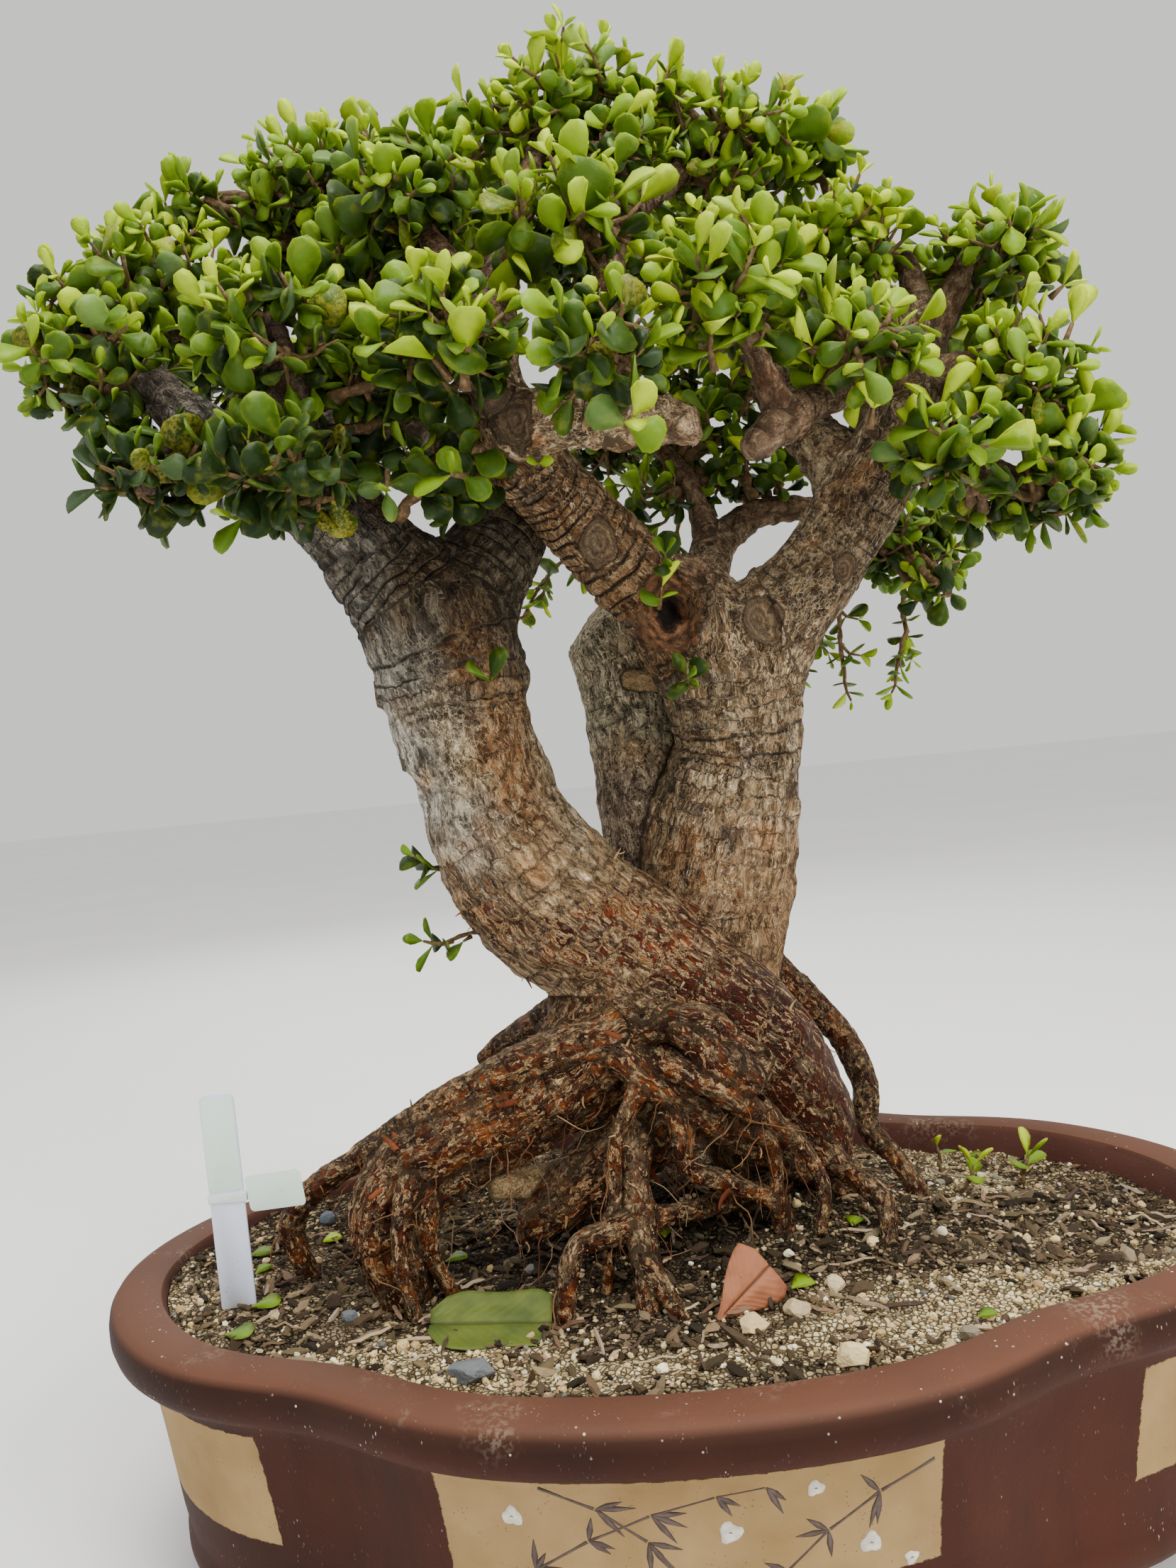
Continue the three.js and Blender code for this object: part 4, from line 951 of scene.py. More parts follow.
def make_camera():
    yaw, pitch, roll = (math.radians(CAMERA[key]) for key in ("yaw", "pitch", "roll"))
    forward = Vector((math.sin(yaw) * math.cos(pitch), math.cos(yaw) * math.cos(pitch), math.sin(pitch)))
    right = forward.cross(Vector((0, 0, 1))).normalized()
    up = right.cross(forward)
    turned_right = right * math.cos(roll) + up * math.sin(roll)
    turned_up = up * math.cos(roll) - right * math.sin(roll)
    data = bpy.data.cameras.new("camera")
    data.sensor_width = 36.0
    data.lens = CAMERA["focal"] / max(CAMERA["frame"]) * data.sensor_width
    data.clip_start = 0.02
    camera = bpy.data.objects.new("camera", data)
    bpy.context.scene.collection.objects.link(camera)
    turn = Matrix((turned_right, turned_up, -forward)).transposed()
    camera.matrix_world = Matrix.Translation(CAMERA["place"]) @ turn.to_4x4()
    bpy.context.scene.camera = camera


def area_light(name, place, aim, size, power, colour=(1.0, 1.0, 1.0)):
    data = bpy.data.lights.new(name, "AREA")
    data.energy = power
    data.size = size
    data.color = colour
    lamp = bpy.data.objects.new(name, data)
    bpy.context.scene.collection.objects.link(lamp)
    lamp.location = place
    lamp.rotation_euler = (Vector(aim) - Vector(place)).to_track_quat("-Z", "Y").to_euler()


def make_studio():
    world = bpy.data.worlds.new("studio")
    world.use_nodes = True
    world.node_tree.nodes["Background"].inputs["Color"].default_value = (1.0, 0.99, 0.97, 1.0)
    world.node_tree.nodes["Background"].inputs["Strength"].default_value = 0.92
    bpy.context.scene.world = world
    area_light("sky", (0.15, -0.45, 2.2), (0, 0, 0.4), 1.2, 58.0, (1.0, 0.985, 0.95))
    area_light("window", (1.5, -1.5, 1.5), (0, 0, 0.35), 0.8, 34.0, (1.0, 0.975, 0.93))
    area_light("fill", (-1.8, -1.2, 0.9), (0, 0, 0.4), 1.4, 4.5, (0.96, 0.98, 1.0))
    area_light("back", (-0.6, 1.9, 1.5), (0, 0, 0.5), 1.3, 18.0, (1.0, 1.0, 0.97))
    floor = primitive(bpy.ops.mesh.primitive_plane_add, size=30.0)
    floor.name = "floor"
    paint = Paint("pale_floor", Specular_IOR_Level=0.2)
    cloud = paint.noise(paint.place(), 2.0, 3.0)
    tint = paint.ramp(cloud, [(0.3, (0.86, 0.86, 0.85)), (0.7, (0.90, 0.90, 0.89))])
    floor.data.materials.append(paint.finish(tint, 0.8))


# ------------------------------------------------------------------ pot

def lobe_points(angles, inset):
    """The pot's four-lobed outline at the given angles, `inset` metres in from the rim's edge."""
    c, s = np.cos(angles), np.sin(angles)
    power = POT["roundness"]
    reach = (np.abs(c) ** power + np.abs(s) ** power) ** (-1 / power)
    middle = POT["notch_angle"]
    dent = np.zeros_like(angles)
    for notch in (middle, math.pi - middle, math.pi + middle, -middle):
        away = np.arctan2(np.sin(angles - notch), np.cos(angles - notch))
        dent += POT["notch_depth"] * np.exp(-((away / POT["notch_width"]) ** 2))
    scale = reach * (1 - dent)
    return np.stack([(POT["length"] / 2 - inset) * c * scale, (POT["depth"] / 2 - inset) * s * scale], 1)


# The pot's section as (inset, height) in millimetres: foot, base moulding, wall, lip, inside.
POT_SECTION = [
    (66, 8), (64, 4), (62, 0.3), (60, 0), (50, 0), (48, 0.4), (45, 4), (40, 8.6), (33, 10.6), (28.2, 13),
    (26, 17), (26, 22), (27.4, 27), (26.4, 32), (25, 40), (22.6, 58), (20, 78), (17.4, 96), (15.6, 104),
    (14, 108.5), (9, 111.6), (4.4, 113.6), (1.2, 117), (0, 121), (0, 126), (0.8, 130), (3, 133), (7, 134.4),
    (14, 134.8), (21, 135), (24.4, 134), (26.2, 131), (28, 122), (30, 106), (34, 70), (38, 40), (43, 26),
    (54, 22),
]


def wall_arc():
    """Angles round the pot and the distance along the wall from the middle of the front."""
    angles = np.linspace(-math.pi / 2, 3 * math.pi / 2, POT["sides"] * 8 + 1)
    points = lobe_points(angles, 20 * MM)
    steps = np.linalg.norm(np.diff(points, axis=0), axis=1)
    return angles, np.concatenate([[0.0], np.cumsum(steps)])


def make_pot():
    """The pot turned from its section, with its drain holes and the slots in its foot cut out."""
    sides = POT["sides"]
    angles = np.arange(sides) / sides * TURN - math.pi / 2
    rings = [np.column_stack([lobe_points(angles, inset * MM), np.full(sides, z * MM)])
             for inset, z in POT_SECTION]
    low = np.array([[0, 0, POT_SECTION[0][1] * MM]])
    high = np.array([[0, 0, POT_SECTION[-1][1] * MM]])
    points = np.concatenate([low, *rings, high])
    faces = []
    last = len(points) - 1
    for i in range(sides):
        j = (i + 1) % sides
        faces.append((0, 1 + j, 1 + i))
        faces.append((last, 1 + (len(rings) - 1) * sides + i, 1 + (len(rings) - 1) * sides + j))
        for ring in range(len(rings) - 1):
            a, b = 1 + ring * sides, 1 + (ring + 1) * sides
            faces.append((a + i, a + j, b + j, b + i))
    pot = mesh_piece("stoneware_pot", points, faces)
    for side in (-1, 1):
        hole = primitive(bpy.ops.mesh.primitive_cylinder_add, vertices=40, radius=17 * MM, depth=0.06,
                         location=(side * 0.12, 0, 0.02))
        cut_with(pot, hole)
    for size in ((0.07, 0.374, 0.014), (0.56, 0.07, 0.014)):
        slot = primitive(bpy.ops.mesh.primitive_cube_add, size=1.0, location=(0, 0, 0))
        slot.scale = size
        cut_with(pot, slot)
    arcs, lengths = wall_arc()
    spots = points_of(pot)
    total = lengths[-1]
    spot_angle = spot_angles(spots)
    along = np.interp(spot_angle, arcs, lengths)
    along = np.where(along > total / 2, along - total, along)
    inset_wall = 1.0 - held((np.abs(spots[:, 2] - 0.062) - 0.05) / 0.002)
    outside = beyond(spots, 29.5)
    put_attribute(pot, "quarter_round", np.full(len(spots), total / 4))
    put_attribute(pot, "outer_wall", inset_wall * outside)
    put_attribute(pot, "inner_wall", (1 - beyond(spots, 25.2)) * (spots[:, 2] > 0.1))
    # How much the rim faces up, for the painted light on its top.
    facing = np.array([vertex.normal[2] for vertex in pot.data.vertices])
    put_attribute(pot, "rim_top", held((facing - 0.35) / 0.35) * (spots[:, 2] > 0.1))
    map_wall(pot, along, spots[:, 2], total)
    settle(pot, clay_paint(), ["pot_body"], smooth=False)
    smooth_below(pot, 40)


def map_wall(pot, along, height, total):
    """A map of the wall: the distance round the pot and the height, unbroken across each face."""
    while pot.data.uv_layers:
        pot.data.uv_layers.remove(pot.data.uv_layers[0])
    layer = pot.data.uv_layers.new(name="wall")
    loops = np.array([loop.vertex_index for loop in pot.data.loops])
    u = along[loops]
    starts = np.array([polygon.loop_start for polygon in pot.data.polygons])
    counts = np.array([polygon.loop_total for polygon in pot.data.polygons])
    for start, count in zip(starts, counts):
        span = u[start:start + count]
        if span.max() - span.min() > total / 2:
            u[start:start + count] = np.where(span < 0, span + total, span)
    layer.data.foreach_set("uv", np.column_stack([u, height[loops]]).astype(np.float32).ravel())


def spot_angles(spots):
    """The outline angle of each point, from -90 degrees round to 270."""
    guess = np.arctan2(spots[:, 1] / POT["depth"], spots[:, 0] / POT["length"])
    return np.where(guess < -math.pi / 2, guess + TURN, guess)


def beyond(spots, inset):
    """1 outside the outline that lies `inset` millimetres in from the rim's edge, 0 inside it."""
    edge = lobe_points(spot_angles(spots), inset * MM)
    return (np.hypot(spots[:, 0], spots[:, 1]) > np.hypot(edge[:, 0], edge[:, 1])).astype(float)


def cut_with(piece, cutter):
    """Cuts the cutter's shape out of the piece."""
    apply_modifier(piece, "cut", "BOOLEAN", operation="DIFFERENCE", object=cutter, solver="EXACT")
    bpy.data.objects.remove(cutter)


# ------------------------------------------------------------------ wood

class Limb:
    """A limb's centre line with its radius, its length so far and a frame that doesn't twist."""

    def __init__(self, name, route, order):
        self.points, self.radii = smooth_route(np.array(route, float) * MM, 4)
        steps = np.diff(self.points, axis=0)
        self.lengths = np.concatenate([[0.0], np.cumsum(np.linalg.norm(steps, axis=1))])
        self.order = order
        self.cut = CUT_ENDS.get(name)
        rng = random.Random(len(name) + len(route))
        gap = CREASE_GAPS.get(name, 6.5) * MM
        self.tilt = rng.uniform(-0.25, 0.25)
        self.creases = [-30 * MM]
        while self.creases[-1] < self.lengths[-1] + 40 * MM:
            self.creases.append(self.creases[-1] + gap * rng.uniform(0.6, 1.6))
        tangent = unit(np.gradient(self.points, axis=0))
        side = np.cross((0.3, 1.0, 0.1), tangent[0])
        sides = []
        for direction in tangent:
            side = side - direction * np.dot(side, direction)
            side /= np.linalg.norm(side)
            sides.append(side)
        self.side = np.array(sides)
        self.other = np.cross(tangent, self.side)

    def nearest(self, places):
        """Gap to the limb's skin, the way out, the grain coordinates and the radius, at each place."""
        start = self.points[:-1]
        step = np.diff(self.points, axis=0)
        square = np.maximum((step ** 2).sum(1), 1e-12)
        t = held(((places[:, None] - start) * step).sum(2) / square)
        centre = start + t[..., None] * step
        radius = self.radii[:-1] + t * np.diff(self.radii)
        gap = np.linalg.norm(places[:, None] - centre, axis=2) - radius
        best = gap.argmin(1)
        rows = np.arange(len(places))
        t, centre, gap, radius = t[rows, best], centre[rows, best], gap[rows, best], radius[rows, best]
        away = places - centre
        length = self.lengths[best] + t * np.diff(self.lengths)[best]
        across = [(away * way[best]).sum(1) for way in (self.side, self.other)]
        grain = np.column_stack([*across, length + self.order])
        away = unit(away)
        if self.cut:
            face = np.array(self.cut[1]) / np.linalg.norm(self.cut[1])
            beyond = (places - np.array(self.cut[0]) * MM) @ face
            cut = beyond > gap
            gap = np.where(cut, beyond, gap)
            away = np.where(cut[:, None], face, away)
        return gap, away, grain, radius


def smooth_route(stations, steps):
    """A Catmull-Rom curve through the stations, as points and radii."""
    padded = np.vstack([2 * stations[0] - stations[1], stations, 2 * stations[-1] - stations[-2]])
    rows = []
    for i in range(1, len(padded) - 2):
        before, here, after, later = padded[i - 1:i + 3]
        for k in range(steps):
            t = k / steps
            square = 2 * before - 5 * here + 4 * after - later
            cube = 3 * here - before - 3 * after + later
            rows.append(0.5 * (2 * here + (after - before) * t + square * t * t + cube * t ** 3))
    rows.append(padded[-2])
    rows = np.array(rows)
    return rows[:, :3], np.maximum(rows[:, 3], 1.5 * MM)


class Wood:
    """The skin of several limbs grown together."""

    fillets = {True: 4.8 * MM, False: 3.0 * MM}
    reach = 24 * MM

    def __init__(self, routes):
        self.names = np.array(list(routes))
        self.limbs = [Limb(name, route, 0.9 * i) for i, (name, route) in enumerate(routes.items())]

    def skin(self, places):
        """At each place: the distance to the skin, the way out, the grain, radius and name of the closest
        limb, and how near its neighbour's skin is."""
        sums = {thick: np.zeros(len(places)) for thick in (True, False)}
        ways = {thick: np.zeros_like(places) for thick in (True, False)}
        best = np.full(len(places), 1e9)
        second = np.full(len(places), 1e9)
        grain = np.zeros_like(places)
        radius = np.full(len(places), 5 * MM)
        owner = np.zeros(len(places), int)
        for number, limb in enumerate(self.limbs):
            margin = limb.radii.max() + self.reach
            near = ((places > limb.points.min(0) - margin) & (places < limb.points.max(0) + margin)).all(1)
            rows = np.flatnonzero(near)
            if not len(rows):
                continue
            gap, away, its_grain, its_radius = limb.nearest(places[rows])
            thick = str(self.names[number]) in BLENDED
            weight = np.exp(-np.clip(gap, -0.06, 0.06) / self.fillets[thick])
            sums[thick][rows] += weight
            ways[thick][rows] += away * weight[:, None]
            closer = gap < best[rows]
            second[rows] = np.where(closer, best[rows], np.minimum(second[rows], gap))
            rows = rows[closer]
            best[rows] = gap[closer]
            grain[rows] = its_grain[closer]
            radius[rows] = its_radius[closer]
            owner[rows] = number
        fine = self.fillets[False]
        thick_gap = np.where(sums[True] > 0, -self.fillets[True] * np.log(np.maximum(sums[True], 1e-9)), 0.1)
        thick_weight = np.exp(-np.clip(thick_gap, -0.06, 0.06) / fine)
        outward = unit(ways[True]) * thick_weight[:, None] + ways[False]
        distance = -fine * np.log(np.maximum(thick_weight + sums[False], 1e-9))
        # How close the neighbouring limb's skin is, which the bark paints as shade in the crevice.
        seam = held(1 - (second - best) / (4 * MM))
        return distance, unit(outward), grain, radius, self.names[owner], seam


ROUTES = [*LEFT_WOOD, *RIGHT_WOOD, *SLIGHT_LIMBS["left_trunk"]]
ROOTS = ["broken_stick"] + [name for name in ROUTES if "root" in name]
BLENDED = ["trunk", "left_limb", "rear_limb", "right_limb"]
THICK = ["trunk", "cut_stub", "left_limb", "rear_limb", "right_limb"]
PLEATED = ["left_limb", "rear_limb"]
DEAD = ["broken_stick", "twig_stub"]


def crease_lines(wood, places, grain, names, outward, spots):
    """A count that grows by one from crease to crease along each limb, and how clearly the creases show."""
    clear_of_marks = held((np.hypot(spots[:, 0], spots[:, 1]) - 1.0) / 0.3)
    along = grain[:, 2] + (3.0 * lumps(places, 24 * MM, 9.0, 2) + 1.0 * lumps(places, 7 * MM, 2.0, 2)) * MM
    phase = np.zeros(len(places))
    for name, limb in zip(wood.names, wood.limbs):
        rows = names == name
        phase[rows] = np.interp(along[rows] + limb.tilt * grain[rows, 0], np.array(limb.creases) + limb.order,
                                np.arange(len(limb.creases)))
    x, _, z = places.T
    patchy = held(0.35 + 1.6 * lumps(places, 34 * MM, 12.0, 2))
    low = np.clip((0.53 - z) / 0.05, 0.3, 1)
    left_collar = np.clip((z - 0.385) / 0.03, 0, 0.9) * (x < 0)
    right_folds = (x > 0) * np.exp(-(((z - 0.362) / 0.045) ** 2))
    clear = {
        "left_limb": np.clip(1.15 - 0.5 * outward[:, 0] - 0.5 * outward[:, 2], 0.2, 1.3) * low,
        "rear_limb": np.clip(0.9 + 0.5 * outward[:, 0], 0.2, 1.2) * low,
        "right_limb": np.clip((z - 0.43) / 0.03, 0.1, 0.42),
        "trunk": np.maximum(np.maximum(0.7 * patchy - 0.3, left_collar), right_folds),
        "cut_stub": 0.4 * patchy,
    }
    presence = 0.55 * patchy
    for name, share in clear.items():
        presence = np.where(names == name, share, presence)
    broken = np.where(np.isin(names, PLEATED), 0.6, 1.3) * lumps(places, 15 * MM, 6.0, 2)
    return phase, held(presence * np.clip(0.8 + broken, 0.1, 1)) * clear_of_marks


def mark_fields(places, marks, outward):
    """The lift of each mark, and where each place lies in it: across, up (in mark radii) and kind."""
    lift = np.zeros(len(places))
    spots = np.tile((9.0, 9.0, 0.0), (len(places), 1))
    uneven = lumps(places, 6 * MM, 3.0, 2)
    for kind, spot, size, lip, depth in marks:
        row = np.linalg.norm(places - np.array(spot) * MM, axis=1).argmin()
        across = unit(np.cross((0.0, 0.0, 1.0), outward[row])[None])[0]
        away = (places - places[row]) / (size * MM)
        far = np.linalg.norm(away * np.array([1.0, 1.0, 0.8]), axis=1) * (1 + 0.15 * uneven)
        if kind == "nub":
            lift += lip * np.exp(-((far / 0.95) ** 4)) * (1 + 0.5 * uneven)
            continue
        lift += lip * np.exp(-(((far - 1.0) / 0.26) ** 2))
        lift -= depth * np.exp(-((far / (0.36 if kind == "knot" else 0.85)) ** 4))
        if kind == "knot":
            lift += (0.7 * np.sin(far * 20.0) + 1.6 * uneven) * np.exp(-(((far - 0.8) / 0.5) ** 2))
        inside = far < 1.9
        spots[inside] = np.column_stack([away[inside] @ across, away[inside, 2] * 0.8,
                                         np.full(inside.sum(), 2.0 if kind == "knot" else 1.0)])
    return lift, spots


def rough_wood(name, node, voxel):
    """The CAD tree and its slight limbs, remeshed to one skin."""
    piece = bpy.data.objects.new(name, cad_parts[node].data.copy())
    bpy.context.scene.collection.objects.link(piece)
    only(piece)
    bpy.ops.object.mode_set(mode="EDIT")
    bpy.ops.mesh.select_all(action="SELECT")
    bpy.ops.mesh.remove_doubles(threshold=1e-6)
    bpy.ops.object.mode_set(mode="OBJECT")
    slight = Heap()
    for route in SLIGHT_LIMBS[node].values():
        stations, radii = smooth_route(np.array(route, float) * MM, 3)
        add_tube(slight, stations, radii, 10)
    slight.piece("slight_limbs").select_set(True)
    piece.select_set(True)
    bpy.context.view_layer.objects.active = piece
    bpy.ops.object.join()
    apply_modifier(piece, "remesh", "REMESH", mode="VOXEL", voxel_size=voxel, use_smooth_shade=True)
    return piece


def carve_wood(piece, wood, marks):
    """Draws the rough wood onto the limbs' own skin and gives it furrows, creases, knuckles and marks."""
    places = points_of(piece)
    for _ in range(3):
        distance, outward, *_rest = wood.skin(places)
        places = places - outward * np.clip(distance, -3 * MM, 3 * MM)[:, None] * 0.9
    _, outward, grain, radius, names, _ = wood.skin(places)
    is_root = np.isin(names, ROOTS).astype(float)
    is_thick = np.isin(names, THICK).astype(float)
    girth = np.clip(radius / (30 * MM), 0.1, 1.2)
    middle = lumps(places, 13 * MM, 4.0)
    furrow = lumps(grain * np.array([1.0, 1.0, 0.16]), 3.0 * MM, 7.0, 2)
    lift, spots = mark_fields(places, marks, outward)
    phase, presence = crease_lines(wood, places, grain, names, outward, spots)
    fold = np.abs(np.sin(math.pi * phase)) ** 0.6 - 0.6
    shift = girth * (2.8 * lumps(places, 38 * MM, 1.0) + 1.3 * middle) + 0.5 * furrow * np.sqrt(girth)
    pleats = np.where(np.isin(names, PLEATED), 2.6, 1.0)
    shift += fold * presence * is_thick * pleats * np.sqrt(girth)
    shift += is_root * np.clip(radius / (12 * MM), 0.3, 1.5) * (1.5 * middle + 0.9 * furrow + 0.7 * fold)
    shift *= np.where(np.isin(names, DEAD), 0.3, 1.0)
    thin = (1 - is_root) * (1 - is_thick) * ~np.isin(names, DEAD)
    knuckle = np.abs(np.sin(math.pi * grain[:, 2] / (11 * MM))) ** 6
    shift += thin * (0.9 * knuckle * (0.6 + middle) + 0.7 * middle)
    set_points(piece, places + outward * ((shift + lift) * MM)[:, None])


def make_wood(name, node, routes, marks, voxel):
    """One tree with all its limbs and roots, and what its bark's material reads."""
    piece = rough_wood(name, node, voxel)
    wood = Wood({**routes, **SLIGHT_LIMBS[node]})
    carve_wood(piece, wood, marks)
    share = TREE_TRIANGLES[node] / max(2 * len(piece.data.polygons), 1)
    if share < 1:
        apply_modifier(piece, "thin_out", "DECIMATE", decimate_type="COLLAPSE", ratio=share,
                       use_collapse_triangulate=True)
    places = points_of(piece)
    _, outward, grain, radius, names, seam = wood.skin(places)
    is_root = np.isin(names, ROOTS).astype(float)
    _, spots = mark_fields(places, marks, outward)
    phase, presence = crease_lines(wood, places, grain, names, outward, spots)
    x, _, z = places.T
    left = node == "left_trunk"
    patch = lumps(places, 30 * MM, 21.0, 3)
    stem = names == "trunk"
    stub = names == "cut_stub"
    front = held(-outward[:, 1] + 0.3)
    bare = (0.338 - z) / 0.040 if left else (0.318 - z) / 0.085 + 0.25 * patch
    caudex = held(bare + 0.4 * patch) * stem * (1.0 if left else 0.8)
    glossy = held((0.262 - z) / 0.05 + (x + 0.01) / 0.09 + 0.5 * patch) * stem * left
    axis = np.interp(z, [0.30, 0.34, 0.396, 0.45], [-0.045, -0.066, -0.080, -0.090])
    run = np.interp(z, [0.33, 0.353, 0.419, 0.47], [-0.046, -0.050, -0.062, -0.075])
    stripe = np.exp(-(((x - run) / 0.012) ** 2)) * held((z - 0.30) / 0.05)
    stripe = stripe * held((0.475 - z) / 0.04) * front
    warm = stripe if left else 0.28 + 0.5 * (names == "left_limb")
    warm = warm + 0.5 * held((0.355 - z + 0.02 * lumps(places, 30 * MM, 5.0, 2)) / 0.08)
    warm = warm + 0.7 * held(lumps(places, 24 * MM, 31.0, 2) * 2.2 - 0.45)
    cool = held((axis - 0.004 - x) / 0.016) * left * (z > 0.28)
    cool = cool + (0.8 if left else 0.15) * held(lumps(places, 50 * MM, 37.0, 2) * 2 - 0.3)
    neck = np.linalg.norm(places - np.array([-62, -30, 255]) * MM, axis=1)
    neck = np.exp(-((neck / 0.028) ** 2)) * stem * left
    # Painted light and shade, mixed with the bark's own tone: the left trunk lighter on its left side and
    # darker on its right and under the crown; the right trunk darker higher up and under the crown, its front
    # limb lighter, its left limb darker, and the cut stub lighter towards its top.
    if left:
        light = np.interp((x - axis) / 0.04, [-1.0, -0.3, 0.3, 1.0], [1.20, 0.88, 0.66, 0.50])
        light *= 1 - 0.66 * held((z - 0.392) / 0.045) * held((-0.025 - x) / 0.02)
        light = 0.86 + (light - 0.86) * held((z - 0.31) / 0.03)
    else:
        upper_right = held((z - 0.42) / 0.03) * held((x - 0.035) / 0.02)
        light = 0.95 - 0.10 * held((z - 0.33) / 0.03) - 0.26 * upper_right
        light = np.where(names == "front_limb", 1.15, np.where(names == "left_limb", 0.72, light))
        light = np.where(stub, light * np.clip(1.0 + (z - 0.36) * 8, 1.0, 1.5), light)
    # Where painted shade darkens the crevices: on the roots, the cut stub and the right trunk's left side.
    crevice_shade_share = np.maximum(0.6 * is_root, stub) + stem * (not left) * (x < 0.045)
    purple = stub * held((0.375 - z) / 0.02) * held((z - 0.29) / 0.02)
    wine = held(lumps(places, 17 * MM, 44.0, 2) * 2.8 - 0.45) * stem * (not left)
    wine = wine * held((0.395 - z) / 0.03)
    masks = {
        "lightness": light,
        "grain": grain,
        "root": is_root * (1 - 0.25 * held(outward[:, 2])),
        "caudex": caudex * (1 - 0.7 * neck),
        "glossy": held(glossy * caudex),
        "seam": seam * crevice_shade_share,
        "crease": phase,
        "presence": presence,
        "mark": spots,
        "moss": stub * held((z - 0.365) / 0.015) * 0.85,
        "purple": np.maximum(purple, 0.8 * wine),
        "plates": stub * held((z - 0.33) / 0.05) * 0.4,
        "dead": np.isin(names, DEAD).astype(float),
        "warm": held(warm * (1 - is_root)),
        "cool": held((cool + neck) * (1 - is_root)),
        "young": held((12 * MM - radius) / (5 * MM)) * (1 - is_root),
    }
    for mask, values in masks.items():
        put_attribute(piece, mask, values)
    return settle(piece, BARK, [node])


# ------------------------------------------------------------------ leaves

def leaf_shape(widest, breadth, thickness, blunt=0.0):
    """A succulent leaf 1 long from its stalk at the origin along +X, its upper side facing +Z."""
    leaf = primitive(bpy.ops.mesh.primitive_uv_sphere_add, segments=4, ring_count=7, radius=0.5,
                     rotation=(0, math.pi / 2, 0))
    bpy.ops.object.transform_apply(location=True, rotation=True, scale=True)
    points = points_of(leaf)
    faces = faces_of(leaf)
    bpy.data.objects.remove(leaf)
    along = held(points[:, 0] + 0.5)
    turn = np.arctan2(points[:, 2], points[:, 1])
    rise = held(along / widest)
    rise = 0.13 + 0.87 * rise * rise * (3 - 2 * rise)
    fall = np.sqrt(held(1 - (held(along - widest) / (1 - widest)) ** 2))
    spread = np.where(along < widest, rise, fall) * breadth
    spread[(along < 1e-4) | (along > 1 - 1e-4)] = 0.0
    along = np.where(along > 1 - 1e-4, 1 - blunt, along)
    side, up = np.cos(turn), np.sin(turn)
    height = thickness * up * (spread / breadth) ** 0.6
    height = height + 0.55 * (spread * side) ** 2 - 0.10 * (along - 0.3) ** 2
    shape = np.column_stack([along, spread * side, height])
    edge = held(side ** 4 * 0.9 + held((along - 0.8) / 0.2))
    stalk = held(1 - along / 0.14)
    return shape, outward_triangles(shape, faces), edge, stalk


def outward_triangles(points, faces):
    """The faces as triangles that point away from the middle."""
    triangles = np.array([(face[0], face[k], face[k + 1]) for face in faces for k in range(1, len(face) - 1)])
    a, b, c = (points[triangles[:, k]] for k in range(3))
    if (np.cross(b - a, c - a) * ((a + b + c) / 3 - points.mean(0))).sum() < 0:
        triangles = triangles[:, ::-1]
    return triangles


def add_tube(heap, route, radii, sides=5, **values):
    """A closed tube along a route, with one radius a station."""
    route = [Vector(point) for point in route]
    count = len(route)
    points = []
    side = Vector((0.3, 1.0, 0.1)).cross((route[1] - route[0]).normalized()).normalized()
    for k, place in enumerate(route):
        ahead = (route[min(k + 1, count - 1)] - route[max(k - 1, 0)]).normalized()
        side = (side - ahead * side.dot(ahead)).normalized()
        other = ahead.cross(side)
        for i in range(sides):
            turn = TURN * i / sides
            points.append(place + side * (radii[k] * math.cos(turn)) + other * (radii[k] * math.sin(turn)))
    points.extend((route[0], route[-1]))
    triangles = []
    start, end, last = count * sides, count * sides + 1, (count - 1) * sides
    for i in range(sides):
        j = (i + 1) % sides
        triangles.append((start, j, i))
        triangles.append((end, last + i, last + j))
        for k in range(count - 1):
            a, b = k * sides, (k + 1) * sides
            triangles.append((a + i, a + j, b + j))
            triangles.append((a + i, b + j, b + i))
    heap.add(np.array([tuple(point) for point in points]), np.array(triangles), **values)


